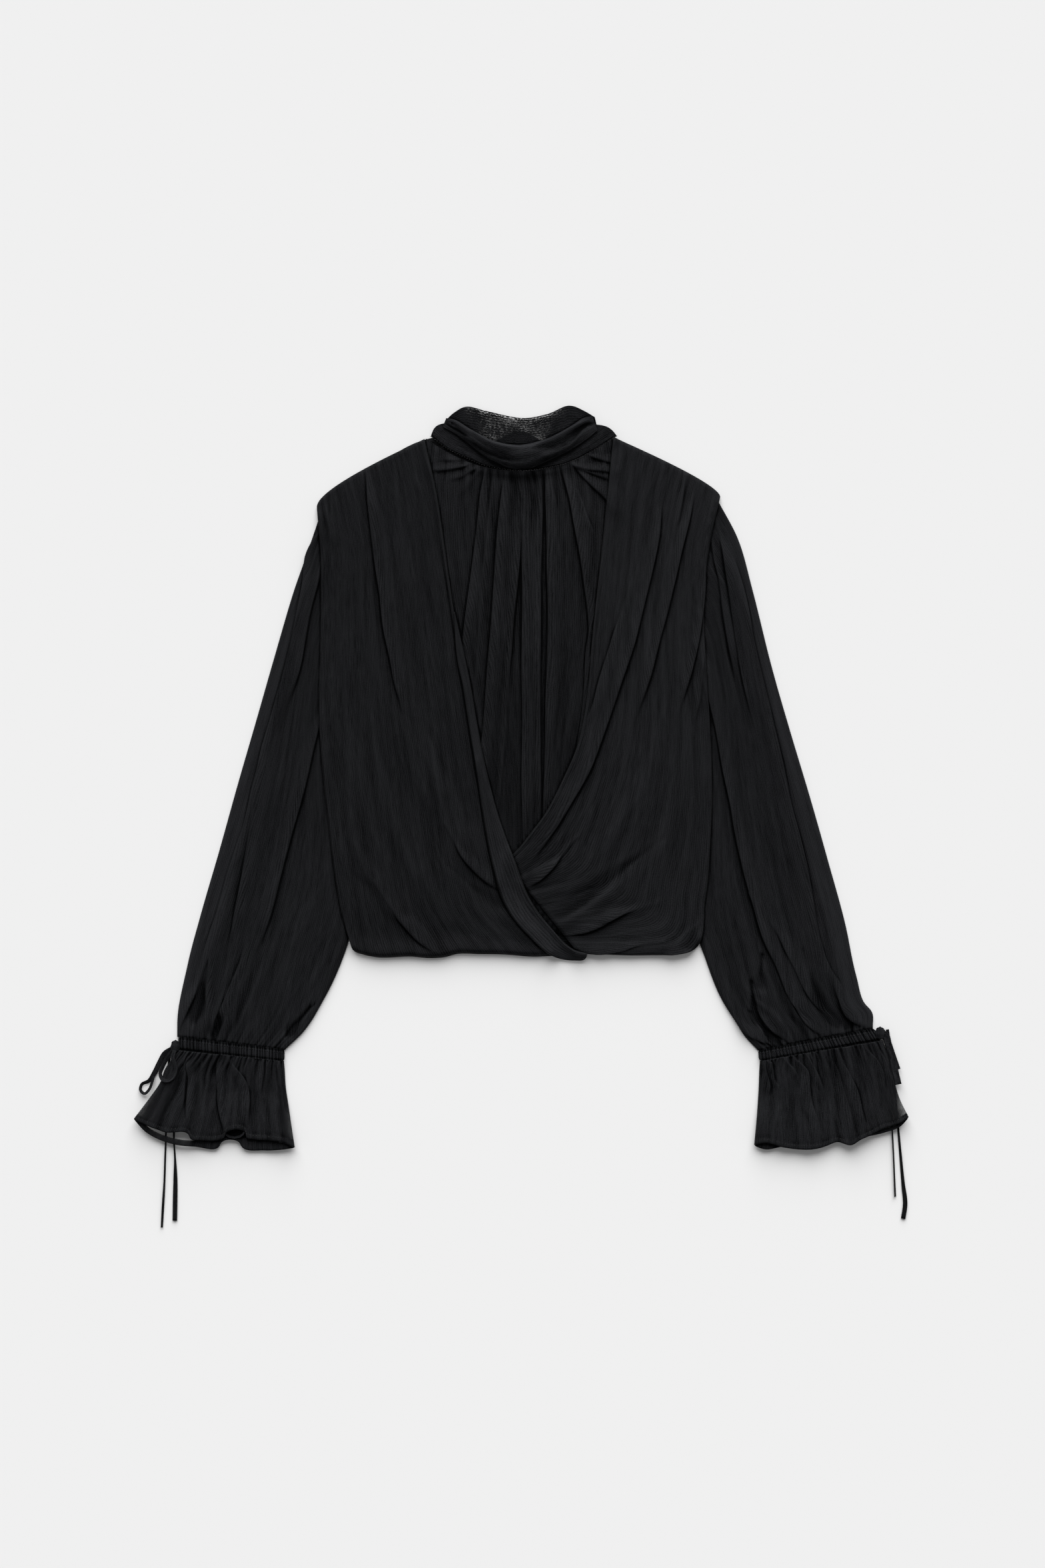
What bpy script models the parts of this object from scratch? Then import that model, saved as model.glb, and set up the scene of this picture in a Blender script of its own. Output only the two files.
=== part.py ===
"""High-neck blouse, laid flat with its back down.

A black crinkled sheer blouse: a back, a gathered inner front, two draped wrap fronts that cross above a
bloused hem, a high cowl collar, and two full sleeves, each gathered into a drawstring casing with a
flared ruffle, a bow and two free tie ends.

Units are metres, tables are in millimetres. +X runs across the sleeves, +Y from the hem to the collar and
+Z up from the surface that the blouse lies on. "right" and "left" are the wearer's, so the right side is
at -X. Every piece is a wall of cloth one WALL thick, and each lies on the pieces below it.
"""
from collections import namedtuple
from math import pi

import bmesh
import bpy
import numpy as np
from mathutils import Vector
from mathutils.bvhtree import BVHTree

MM = 0.001
ABOVE = 100.0         # mm, higher than any of the cloth
WALL = 1.0            # mm, the thickness of every cloth wall
SEAM = 0.3            # mm, the gap between neighbouring pieces
REST = 1.15 * WALL    # mm, a wall's height over what it lies on, with an allowance for its slope
TUBE = 2 * WALL + 0.4  # mm, the height of a flattened tube of cloth
CENTRE = (0.6, -1.8)   # mm, the tables' place of the origin, which is the middle of the laid-out blouse

# A section of a panel: its two ends (x0, y0) and (x1, y1), how far it bows to the right of the way from
# the first end to the second, and how far the cloth stands off what it lies on.
Section = namedtuple("Section", "v x0 y0 x1 y1 bow rise")
# A fold: its line as (v, u) pairs down the panel, its height, and its reach on either side of the line.
Fold = namedtuple("Fold", "line height before after")
# A row of gathers across a panel: how many, how high, and the v where they are full and where gone.
Gathers = namedtuple("Gathers", "count height full gone")

SHOULDER_SKEW = 0.5    # the shoulder's bow is fullest near the sleeve

# The back's sections run from the hem (x0, y0) up to the shoulders and the neck (x1, y1).
BACK = (
    Section(0.00, -166.0, -165.0, -196.0, 263.0, -3.0, 0),
    Section(0.07, -149.0, -172.0, -168.0, 292.0, 0, 0),
    Section(0.13, -125.0, -173.5, -148.0, 309.0, 0, 0),
    Section(0.27, -80.0, -173.5, -96.0, 337.0, 0, 0),
    Section(0.32, -62.0, -172.0, -76.0, 342.0, 0, 0),
    Section(0.50, 0.0, -171.5, 0.0, 339.5, 0, 0),
    Section(0.68, 62.0, -172.0, 75.0, 344.0, 0, 0),
    Section(0.74, 78.0, -172.5, 92.0, 339.5, 0, 0),
    Section(0.87, 125.0, -173.5, 148.0, 310.0, 0, 0),
    Section(0.94, 149.0, -172.5, 172.0, 292.0, -4.0, 0),
    Section(1.00, 169.0, -167.0, 189.0, 270.0, -14.0, 0),
)
BACK_SKEW = 2.5        # the back's sides bow fullest near the shoulder, along the sleeves' seams

INNER_FRONT = (
    Section(0.00, -95.0, 339.5, 91.0, 339.5, 35.0, 0.4),
    Section(0.06, -98.0, 302.0, 97.5, 301.7, 19.0, 0.6),
    Section(0.15, -96.0, 247.0, 97.0, 251.7, 6.5, 0.8),
    Section(0.40, -81.0, 138.3, 89.0, 145.0, 0, 0.8),
    Section(0.70, -54.3, -1.7, 65.7, -1.7, 0, 0.6),
    Section(1.00, -34.3, -155.0, 45.7, -155.0, 0, 0.2),
)
INNER_FRONT_FOLDS = (
    Fold(((0.02, 0.31), (0.13, 0.288), (0.31, 0.20), (0.44, 0.128)), 2.7, 5, 9),
    Fold(((0.02, 0.353), (0.18, 0.325), (0.37, 0.25), (0.55, 0.145)), 2.4, 5, 8),
    Fold(((0.02, 0.41), (0.15, 0.388), (0.39, 0.32), (0.65, 0.175)), 3.6, 5, 10),
    Fold(((0.02, 0.465), (0.15, 0.45), (0.31, 0.41), (0.47, 0.36)), 3.6, 9, 5),
    Fold(((0.05, 0.545), (0.30, 0.545), (0.60, 0.53), (0.85, 0.50)), 3.9, 5, 9),
    Fold(((0.05, 0.605), (0.23, 0.597), (0.47, 0.583), (0.80, 0.61)), 2.4, 6, 6),
    Fold(((0.03, 0.66), (0.20, 0.66), (0.41, 0.672), (0.74, 0.695)), 3.9, 5, 9),
    Fold(((0.01, 0.72), (0.12, 0.777), (0.27, 0.847), (0.40, 0.892)), 3.3, 5, 8),
    Fold(((0.01, 0.785), (0.04, 0.845), (0.09, 0.925)), 2.7, 5, 7),
    Fold(((0.00, 0.23), (0.02, 0.162), (0.045, 0.07)), 2.4, 5, 6),
)

INNER_FRONT_GATHERS = (Gathers(13, 1.6, 0.0, 0.14),)

FRONT_RIGHT = (
    Section(0.00, -203.0, 268.3, -96.3, 339.0, -10.0, 0.8),
    Section(0.15, -199.7, 211.7, -83.7, 281.7, 0, 1.0),
    Section(0.30, -200.3, 145.0, -72.3, 203.7, 0, 1.0),
    Section(0.45, -201.7, 71.7, -61.0, 128.3, 0, 1.0),
    Section(0.60, -198.3, 11.7, -47.7, 45.0, 0, 1.2),
    Section(0.72, -192.3, -45.0, -36.3, -21.7, 0, 1.6),
    Section(0.84, -185.0, -101.7, -25.0, -85.0, 0, 2.2),
    Section(0.92, -179.0, -135.0, -12.3, -128.3, 0, 2.6),
    Section(1.00, -169.0, -169.0, 28.3, -175.7, 3.0, 2.4),
)
FRONT_RIGHT_FOLDS = (
    Fold(((0.00, 0.495), (0.18, 0.462), (0.41, 0.532), (0.557, 0.562)), 4.4, 16, 7),
    Fold(((0.00, 0.125), (0.085, 0.113), (0.20, 0.10)), 2.7, 10, 7),
    Fold(((0.00, 0.30), (0.40, 0.27), (0.75, 0.30), (0.95, 0.36)), 2.4, 14, 14),
    Fold(((0.02, 0.72), (0.30, 0.74), (0.62, 0.82)), 2.4, 14, 10),
    Fold(((0.733, 0.69), (0.807, 0.735), (0.853, 0.85), (0.892, 0.975)), 4.8, 9, 12),
    Fold(((0.86, 0.27), (0.945, 0.32), (0.973, 0.375), (1.0, 0.43)), 4.1, 12, 9),
    Fold(((0.50, 0.12), (0.80, 0.14), (0.97, 0.22)), 2.4, 12, 12),
)

SHOULDER_GATHERS = (Gathers(9, 1.2, 0.0, 0.14),)

FRONT_LEFT = (
    Section(0.00, 199.0, 279.7, 92.3, 341.0, 6.7, 0.8),
    Section(0.12, 189.0, 235.0, 87.7, 295.0, 0, 1.0),
    Section(0.25, 183.0, 178.3, 79.7, 218.3, 0, 1.0),
    Section(0.38, 185.0, 111.7, 71.7, 145.0, 0, 1.0),
    Section(0.50, 189.7, 38.3, 65.7, 78.3, 0, 1.2),
    Section(0.60, 191.0, -15.0, 56.3, 33.0, 0, 1.4),
    Section(0.70, 189.0, -68.3, 42.3, -0.3, 0, 1.8),
    Section(0.80, 184.3, -121.7, 24.3, -35.0, 0, 2.2),
    Section(0.88, 172.3, -171.7, 10.3, -53.7, 0, 2.4),
    Section(0.94, 122.3, -177.0, -1.0, -68.3, 0, 2.2),
    Section(1.00, 57.7, -175.0, -16.3, -83.7, 0, 0.6),
)
FRONT_LEFT_FOLDS = (
    Fold(((0.02, 0.49), (0.28, 0.557), (0.465, 0.77), (0.643, 0.892), (0.853, 0.935), (0.978, 0.86)),
         4.8, 8, 14),
    Fold(((0.20, 0.72), (0.343, 0.79), (0.437, 0.887), (0.552, 0.975)), 3.1, 7, 9),
    Fold(((0.015, 0.228), (0.145, 0.24), (0.357, 0.408), (0.482, 0.585)), 4.1, 8, 13),
    Fold(((0.12, 0.03), (0.293, 0.05), (0.43, 0.208), (0.523, 0.31)), 3.4, 7, 11),
    Fold(((0.827, 0.78), (0.91, 0.79), (1.0, 0.693)), 4.1, 10, 8),
    Fold(((0.78, 0.43), (0.845, 0.542), (0.888, 0.557), (0.943, 0.5), (1.0, 0.40)), 4.8, 14, 10),
    Fold(((0.84, 0.34), (0.908, 0.36), (0.948, 0.3), (1.0, 0.223)), 3.7, 9, 8),
    Fold(((0.90, 0.13), (0.948, 0.10), (0.99, 0.06)), 2.4, 6, 7),
)

WRAP_BAND = (
    Section(0.00, -67.5, 160.0, -64.0, 160.5, 0, 1.0),
    Section(0.10, -64.3, 125.0, -57.2, 127.0, 0, 1.5),
    Section(0.22, -57.8, 91.0, -50.0, 92.0, 0, 1.8),
    Section(0.36, -51.3, 48.3, -43.0, 51.5, 0, 2.0),
    Section(0.48, -43.7, 3.7, -34.0, 6.5, 0, 2.2),
    Section(0.60, -37.0, -42.3, -22.0, -38.0, 0, 2.4),
    Section(0.72, -27.0, -91.7, -6.0, -82.0, 0, 2.6),
    Section(0.82, -15.0, -128.3, 10.0, -122.0, 0, 2.6),
    Section(0.90, 1.7, -153.0, 25.0, -146.5, 0, 2.6),
    Section(0.96, 30.0, -177.5, 48.0, -164.5, 0, 2.6),
    Section(1.00, 54.0, -182.5, 65.5, -175.0, -3.0, 1.2),
)

# The hem's own line from side to side, and how far above it the cloth starts to turn down.
HEM_LINE = ((-174, -168.0), (-165, -172.5), (-148, -178.3), (-70, -178.8), (-30, -175.6), (30, -178),
            (60, -176.5), (110, -178.3), (160, -179.5), (171, -175.5), (174, -168))
HEM_TURN = 9.0

SLEEVE_RIGHT = (
    Section(0.00, -200.0, 265.5, -187.5, 58.3, 0, 0.2),
    Section(0.10, -213.7, 225.0, -186.5, 38.3, 0, 0.8),
    Section(0.22, -227.7, 185.0, -185.5, 11.7, 0, 1.2),
    Section(0.36, -246.3, 121.7, -183.7, -21.7, 0, 1.4),
    Section(0.50, -265.0, 56.3, -179.7, -58.3, 0, 1.4),
    Section(0.62, -283.7, -8.3, -174.3, -98.3, 0, 1.4),
    Section(0.74, -302.3, -75.0, -169.7, -138.3, 0, 1.4),
    Section(0.84, -320.3, -137.0, -175.7, -173.7, 0, 1.6),
    Section(0.92, -333.7, -188.3, -196.3, -219.7, 0, 1.6),
    Section(0.97, -343.0, -235.0, -217.7, -253.7, 0, 1.2),
    Section(1.00, -343.7, -258.3, -236.5, -271.9, 0, 0.6),
)
SLEEVE_RIGHT_FOLDS = (
    Fold(((0.02, 0.05), (0.167, 0.11), (0.43, 0.12), (0.65, 0.18), (0.88, 0.20)), 2.7, 7, 10),
    Fold(((0.03, 0.24), (0.14, 0.235), (0.31, 0.28), (0.43, 0.26)), 2.4, 7, 9),
    Fold(((0.25, 0.68), (0.50, 0.585), (0.79, 0.465), (0.887, 0.385), (0.977, 0.35)), 3.0, 9, 14),
    Fold(((0.52, 0.155), (0.73, 0.16), (0.875, 0.135), (0.962, 0.09)), 2.1, 8, 8),
    Fold(((0.90, 0.215), (0.963, 0.25), (0.99, 0.24)), 2.7, 9, 9),
    Fold(((0.92, 0.44), (0.97, 0.48), (1.0, 0.53)), 2.1, 7, 9),
    Fold(((0.88, 0.70), (0.95, 0.72), (1.0, 0.76)), 2.1, 10, 10),
)

SLEEVE_GATHERS = (Gathers(8, 1.0, 0.0, 0.12), Gathers(8, 2.0, 1.0, 0.80))

SLEEVE_LEFT = (
    Section(0.00, 197.5, 277.0, 176.5, 71.7, 12.0, 0.2),
    Section(0.10, 217.0, 239.7, 176.5, 45.0, 6.0, 0.8),
    Section(0.22, 231.7, 188.3, 177.0, 11.7, 3.0, 1.2),
    Section(0.36, 250.3, 113.7, 178.0, -28.3, 0, 1.4),
    Section(0.50, 269.0, 48.3, 177.8, -68.3, 0, 1.4),
    Section(0.62, 289.0, -18.3, 176.3, -108.3, 0, 1.4),
    Section(0.74, 307.0, -81.7, 173.7, -145.0, 0, 1.4),
    Section(0.84, 324.3, -145.0, 183.0, -176.3, 0, 1.6),
    Section(0.92, 335.7, -198.3, 202.3, -223.7, 0, 1.6),
    Section(0.97, 347.7, -233.0, 222.3, -255.7, 0, 1.2),
    Section(1.00, 352.0, -249.8, 237.3, -272.2, 0, 0.6),
)
SLEEVE_LEFT_FOLDS = (
    Fold(((0.03, 0.12), (0.12, 0.24), (0.245, 0.29), (0.44, 0.315)), 2.7, 7, 9),
    Fold(((0.03, 0.25), (0.127, 0.345), (0.318, 0.45)), 2.4, 6, 9),
    Fold(((0.13, 0.07), (0.287, 0.12), (0.472, 0.125), (0.687, 0.15), (0.858, 0.195), (0.985, 0.06)),
         2.7, 9, 8),
    Fold(((0.05, 0.66), (0.287, 0.69), (0.61, 0.60), (0.847, 0.535), (0.947, 0.47), (0.99, 0.36)),
         3.0, 13, 8),
    Fold(((0.80, 0.49), (0.888, 0.365), (0.962, 0.31), (0.99, 0.27)), 2.7, 8, 8),
    Fold(((0.92, 0.80), (0.985, 0.70)), 2.4, 8, 8),
    Fold(((0.86, 0.62), (0.94, 0.60), (1.0, 0.58)), 1.8, 9, 9),
)

CASING_RIGHT = (
    Section(0.00, -342.6, -260.5, -236.2, -273.2, 0, 1.6),
    Section(0.50, -342.6, -265.4, -236.2, -277.4, 0, 2.6),
    Section(1.00, -342.3, -270.3, -236.4, -281.7, 0, 1.6),
)
CASING_LEFT = (
    Section(0.00, 353.2, -252.0, 237.2, -274.3, 0, 1.6),
    Section(0.50, 357.4, -256.2, 237.6, -278.0, 0, 2.6),
    Section(1.00, 361.0, -260.3, 238.3, -281.7, 0, 1.6),
)
CASING_GATHERS = (Gathers(15, 1.3, 1.0, 2.0),)   # full from edge to edge

# The ruffles' upper and lower walls bow apart towards the hem, so that both edges show from above.
RUFFLE_RIGHT = (
    Section(0.00, -341.7, -271.1, -236.8, -282.5, 0, 1.0),
    Section(0.20, -354.3, -288.3, -236.0, -292.5, 0.8, 1.4),
    Section(0.45, -360.3, -303.7, -235.0, -308.0, 2.0, 1.8),
    Section(0.70, -370.3, -318.3, -231.7, -328.0, 4.0, 2.2),
    Section(1.00, -386.3, -339.7, -225.7, -365.0, 6.0, 2.4),
)
RUFFLE_LEFT = (
    Section(0.00, 361.3, -261.2, 239.0, -282.5, 0, 1.0),
    Section(0.20, 367.0, -278.0, 238.4, -293.0, -0.8, 1.4),
    Section(0.45, 373.0, -301.7, 237.7, -311.0, -2.0, 1.8),
    Section(0.72, 378.5, -320.0, 235.7, -337.0, -5.0, 2.2),
    Section(1.00, 387.0, -337.7, 232.3, -371.0, -8.0, 2.4),
)
RUFFLE_WAVES = 8
RUFFLE_HEIGHT = 4.0
POCKET = 3.5          # mm, the most that folds lift a tube's upper wall off its lower one
DRAPE = 5.0           # mm, and a panel off what it lies on
UNDER_BOW = 10.0       # mm, how much further the ruffle's lower wall bows at the hem
TIE_LIFT = 3.5         # mm, how far the ruffle's outer side is held off the floor by the ties
TIE_SIDE = (0.30, 0.45)  # the share of its width where that lift starts to fall, and where it ends

# A section of the collar's front, from the wearer's right to left: its middle x, the neck seam, the
# roll's lower edge and the mouth's edge, and the height of the roll.
CollarSection = namedtuple("CollarSection", "t seam_x seam_y low_x low_y mouth_x mouth_y height")
COLLAR = (
    CollarSection(0.00, -82.5, 339.0, -76.5, 350.5, -73.5, 358.5, 6.6),
    CollarSection(0.12, -70.0, 327.5, -66.0, 344.5, -64.5, 357.0, 9.8),
    CollarSection(0.25, -55.0, 320.5, -54.0, 335.5, -49.0, 347.5, 13.0),
    CollarSection(0.40, -31.0, 311.0, -29.0, 317.7, -24.3, 335.5, 15.6),
    CollarSection(0.52, -1.0, 306.6, -1.0, 307.7, -1.0, 332.3, 16.2),
    CollarSection(0.65, 25.7, 309.6, 25.7, 316.3, 25.7, 338.5, 15.2),
    CollarSection(0.78, 52.3, 317.0, 50.0, 328.3, 49.0, 350.5, 13.4),
    CollarSection(0.90, 73.0, 328.5, 64.5, 338.0, 62.0, 359.0, 10.4),
    CollarSection(1.00, 84.5, 339.5, 74.5, 345.0, 71.5, 361.5, 6.6),
)
# The roll's section: each point's place from the lower edge (0) to the mouth's edge (1), and its height
# from the stand (0) to the top of the roll (1).
ROLL_SECTION = ((0.16, 0.10), (0.02, 0.16), (-0.04, 0.42), (0.06, 0.72), (0.28, 0.93), (0.52, 1.0),
                (0.76, 0.90), (0.94, 0.66), (1.0, 0.40), (0.97, 0.14), (0.90, 0.0))
STAND_TOP = 5.0        # mm, the height of the stand's upper side under the roll
STAND_SEAM = 4.2       # mm, and at the neck seam

# The collar's back half: its lower edge, its upper edge and the height of its outer side there.
COLLAR_BACK = (
    Section(0.00, -77.0, 346.5, -76.0, 357.0, 0, 0.8),
    Section(0.12, -66.0, 345.0, -66.5, 365.5, 0, 2.0),
    Section(0.25, -52.0, 343.5, -54.0, 371.3, 0, 2.4),
    Section(0.40, -25.0, 341.5, -32.0, 366.5, 0, 1.2),
    Section(0.52, 0.0, 341.0, -1.0, 360.3, 0, 0.8),
    Section(0.66, 25.0, 342.0, 26.0, 364.0, 0, 1.2),
    Section(0.80, 50.0, 345.5, 48.0, 372.3, 0, 2.4),
    Section(0.92, 66.0, 348.0, 63.5, 367.0, 0, 2.0),
    Section(1.00, 76.5, 350.0, 74.0, 361.0, 0, 0.8),
)

TIE_RADIUS = 1.2
TIE_HEIGHT = 1.3       # mm, the ties' middle line, lying on the floor
TIE_POINTS = 20
TIES = {
    "tie_right_a": ((-350.5, -270.0), (-352.0, -285.0), (-353.5, -305.0), (-354.5, -330.0), (-355.0, -362.0),
                    (-355.7, -383.0), (-356.3, -402.3), (-358.0, -431.0), (-359.0, -449.0)),
    "tie_right_b": ((-346.0, -270.0), (-345.5, -284.0), (-346.0, -305.0), (-346.5, -335.0), (-346.7, -364.0),
                    (-345.7, -381.0), (-345.4, -402.3), (-345.7, -423.0), (-346.0, -442.3)),
    "tie_left_a": ((362.5, -251.5), (364.5, -262.0), (367.0, -285.0), (369.0, -310.0), (370.5, -335.0),
                   (371.3, -350.0), (373.0, -386.0), (374.3, -418.3)),
    "tie_left_b": ((366.5, -251.0), (368.5, -265.0), (371.5, -290.0), (374.0, -315.0), (376.0, -335.0),
                   (377.0, -347.0), (379.7, -377.7), (382.3, -405.7), (384.3, -426.3), (382.3, -440.3)),
}

# The bows: a knot at (x, y), and loops of the same tie as (x, y) points that lie on the ruffle.
KNOT_SIZE = (4.6, 5.0, 2.8)
KNOT_HEIGHT = 5.8
KNOTS = {"knot_right": (-348.3, -271.0), "knot_left": (362.5, -249.3)}
LOOP_RADIUS = 1.4
LOOP_CLEAR = 0.6
LOOP_POINTS = 13
LOOPS = {
    "loop_right_a": ((-352.6, -278.6), (-357.0, -287.0), (-359.7, -295.7), (-357.0, -300.5), (-352.3, -301.5),
                     (-346.5, -298.0), (-344.0, -291.0), (-345.0, -284.0), (-347.0, -279.2)),
    "loop_right_b": ((-355.8, -275.0), (-360.5, -283.0), (-366.0, -294.0), (-372.0, -302.5), (-379.0, -307.5),
                     (-380.5, -312.5), (-376.0, -315.5), (-370.0, -311.0), (-365.5, -303.0)),
    "loop_left_a": ((368.9, -252.0), (371.6, -260.0), (375.5, -271.0), (379.5, -284.0), (379.0, -290.0),
                    (375.5, -288.0), (371.5, -277.5), (368.0, -266.5), (365.6, -257.5)),
    "loop_left_b": ((369.6, -248.0), (375.8, -257.0), (380.5, -270.0), (384.0, -284.0), (386.0, -298.0),
                    (383.0, -303.5), (376.0, -304.5), (373.0, -299.0), (371.5, -292.0)),
}

CLOTH = ((0.012, 0.012, 0.014, 1), 0.62)   # linear colour and roughness, no metal


# ---------------------------------------------------------------- curves and profiles

def through(knots, values, at):
    """A smooth curve through values at the knots, read at each number in at."""
    knots = np.asarray(knots, float)
    values = np.asarray(values, float).reshape(len(knots), -1)
    at = np.clip(np.atleast_1d(at), knots[0], knots[-1])
    slopes = np.gradient(values, knots, axis=0)
    i = np.clip(np.searchsorted(knots, at, side="right") - 1, 0, len(knots) - 2)
    span = (knots[i + 1] - knots[i])[:, None]
    t = ((at - knots[i])[:, None]) / span
    near = (2 * t**3 - 3 * t**2 + 1) * values[i] + (t**3 - 2 * t**2 + t) * span * slopes[i]
    far = (3 * t**2 - 2 * t**3) * values[i + 1] + (t**3 - t**2) * span * slopes[i + 1]
    return near + far


def columns(sections, *names):
    """The named columns of a table, as one array with a row for each section."""
    return np.array([[getattr(section, name) for name in names] for section in sections], float)


def smooth(t):
    """0 below 0, 1 above 1, with a soft start and end."""
    t = np.clip(t, 0, 1)
    return t * t * (3 - 2 * t)


def slack(height, limit):
    """How far rise and folds lift the cloth, softly held under a limit."""
    return limit * np.tanh(height / limit)


def steps(count, edge=0.015):
    """Numbers from 0 to 1, close together at both ends, where cloth turns over."""
    return np.concatenate(([0, edge], np.linspace(0, 1, count + 1)[1:-1], [1 - edge, 1]))


def section_lines(sections, v, u, skew=1.0):
    """The plan (x, y) of every grid point (v, u) of a panel, and each section's length."""
    knots = columns(sections, "v")[:, 0]
    start = through(knots, columns(sections, "x0", "y0"), v)
    end = through(knots, columns(sections, "x1", "y1"), v)
    bow = through(knots, columns(sections, "bow"), v)
    along = end - start
    length = np.linalg.norm(along, axis=1, keepdims=True)
    aside = np.stack([along[:, 1], -along[:, 0]], axis=1) / length
    warped = u**skew
    arch = 4 * warped * (1 - warped)
    plan = start[:, None] + along[:, None] * u[None, :, None] + (aside * bow)[:, None] * arch[None, :, None]
    return plan, length[:, 0]


def fold_relief(folds, v, u, length):
    """The height that the folds add at every grid point (v, u) of a panel."""
    relief = np.zeros((len(v), len(u)))
    for fold in folds:
        line = np.array(fold.line)
        middle = through(line[:, 0], line[:, 1], v)
        fade = 0.25 * (line[-1, 0] - line[0, 0])
        enters = smooth((v - line[0, 0]) / fade + 0.5)
        leaves = smooth((line[-1, 0] - v) / fade + 0.5)
        across = (u[None, :] - middle) * length[:, None]
        reach = np.where(across < 0, fold.before, fold.after)
        relief += fold.height * (enters * leaves)[:, None] * np.exp(-(across / reach) ** 2)
    return relief


def gather_relief(rows, v, u):
    """The height that rows of gathers add at every grid point (v, u) of a piece."""
    relief = np.zeros((len(v), len(u)))
    for row in rows:
        ripple = 0.5 - 0.5 * np.cos(2 * pi * row.count * u)
        fade = 1 - smooth((v - row.full) / (row.gone - row.full))
        relief += row.height * fade[:, None] * ripple[None, :]
    return relief


# ---------------------------------------------------------------- making objects

def new_collection(name):
    collection = bpy.data.collections.new(name)
    bpy.context.scene.collection.children.link(collection)
    return collection


def cloth_material(name):
    """Each piece's own black cloth."""
    colour, roughness = CLOTH
    material = bpy.data.materials.new(name + "_cloth")
    material.use_nodes = True
    shader = material.node_tree.nodes["Principled BSDF"]
    shader.inputs["Base Color"].default_value = colour
    shader.inputs["Roughness"].default_value = roughness
    shader.inputs["Metallic"].default_value = 0.0
    material.diffuse_color = colour
    return material


def finish(obj, name):
    """Name an object, give it its material and put it in the blouse's collection."""
    obj.name = name
    obj.data.name = name
    obj.data.materials.append(cloth_material(name))
    for collection in list(obj.users_collection):
        collection.objects.unlink(obj)
    BLOUSE.objects.link(obj)
    bpy.context.view_layer.update()
    return obj


def face_out(mesh, closed):
    """Turn a grid's faces to its outer side: up on a panel, away from the middle on a tube."""
    mesh.normal_update()
    heights = [vert.co.z for vert in mesh.verts]
    middle = sum(heights) / len(heights) if closed else -1.0
    outward = sum(face.calc_area() * face.normal.z * (face.calc_center_median().z - middle)
                  for face in mesh.faces)
    if outward < 0:
        bmesh.ops.reverse_faces(mesh, faces=mesh.faces)


def grid_object(name, points, closed=False):
    """Cloth whose outer side is a grid of points in mm. closed joins each row's end to its start."""
    rows, count = points.shape[:2]
    mesh = bmesh.new()
    verts = [[mesh.verts.new(placed(p)) for p in row] for row in points]
    last = count if closed else count - 1
    for r in range(rows - 1):
        for c in range(last):
            n = (c + 1) % count
            mesh.faces.new((verts[r][c], verts[r + 1][c], verts[r + 1][n], verts[r][n]))
    face_out(mesh, closed)
    data = bpy.data.meshes.new(name)
    mesh.to_mesh(data)
    mesh.free()
    data.shade_smooth()
    obj = bpy.data.objects.new(name, data)
    bpy.context.scene.collection.objects.link(obj)
    wall = obj.modifiers.new("wall", "SOLIDIFY")
    wall.thickness = WALL * MM
    wall.offset = -1
    return finish(obj, name)


def placed(point):
    """A point of the tables, in mm, as a point of the model, in metres."""
    x, y, z = point
    return Vector((x - CENTRE[0], y - CENTRE[1], z)) * MM


class Beneath:
    """The upper side of the pieces made so far, for the next piece to lie on."""

    def __init__(self, *objects):
        view = bpy.context.evaluated_depsgraph_get()
        self.trees = [BVHTree.FromObject(obj, view) for obj in objects]

    def height(self, x, y):
        """The highest cloth at a point of the plan, in mm, or the floor."""
        top = 0.0
        for tree in self.trees:
            hit = tree.ray_cast(placed((x, y, ABOVE)), Vector((0, 0, -1)))[0]
            if hit is not None:
                top = max(top, hit.z / MM)
        return top

    def under(self, plan, softened=True):
        """For each grid point, the highest cloth in the cells around it, spread softly."""
        rows, count = plan.shape[:2]
        top = np.zeros((rows, count))
        for r in range(rows):
            for c in range(count):
                here = plan[r, c]
                for dr in (-1, 0, 1):
                    for dc in (-1, 0, 1):
                        there = plan[min(max(r + dr, 0), rows - 1), min(max(c + dc, 0), count - 1)]
                        for share in (0.0, 0.35, 0.7, 1.0):
                            x, y = here + (there - here) * share
                            top[r, c] = max(top[r, c], self.height(x, y))
        return soften(top) if softened else top


def neighbours(grid):
    padded = np.pad(grid, 1, mode="edge")
    rows, count = grid.shape
    return np.stack([padded[r:r + rows, c:c + count] for r in range(3) for c in range(3)])


def soften(grid):
    """Spread each height to the points around it, then average, so that no point ends lower."""
    return neighbours(neighbours(grid).max(axis=0)).mean(axis=0)


# ---------------------------------------------------------------- panels

def hem_turn(plan):
    """1 away from the hem, falling in a round to 0 at the hem's line, so that the cloth turns down."""
    line = np.array(HEM_LINE)
    hem = through(line[:, 0], line[:, 1], plan[..., 0].ravel()).reshape(plan.shape[:2])
    away = np.clip((plan[..., 1] - hem) / HEM_TURN, 0, 1)
    return np.sqrt(1 - (1 - away) ** 2)


def panel(name, sections, folds, gathers, v, u, below=(), skew=1.0, firm=None, soft_edge=9.0):
    """A panel of cloth that lies on the pieces below it. With firm, its hem turns down round firm."""
    plan, length = section_lines(sections, v, u, skew)
    rise = through(columns(sections, "v")[:, 0], columns(sections, "rise"), v)
    inward = np.minimum(u, 1 - u)[None, :] * length[:, None]
    drawn_down = smooth(inward / soft_edge)
    loose = rise + fold_relief(folds, v, u, length) + gather_relief(gathers, v, u)
    height = slack(loose, DRAPE) * drawn_down
    if below:
        height = height + Beneath(*below).under(plan) + SEAM + REST
    else:
        height = height + WALL
    if firm is not None:
        turn = hem_turn(plan)
        height = height * turn + (WALL + SEAM) * (1 - turn)
        height = np.maximum(height, Beneath(firm).under(plan, softened=False) + SEAM + REST)
    return grid_object(name, np.dstack([plan, height]))


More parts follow.
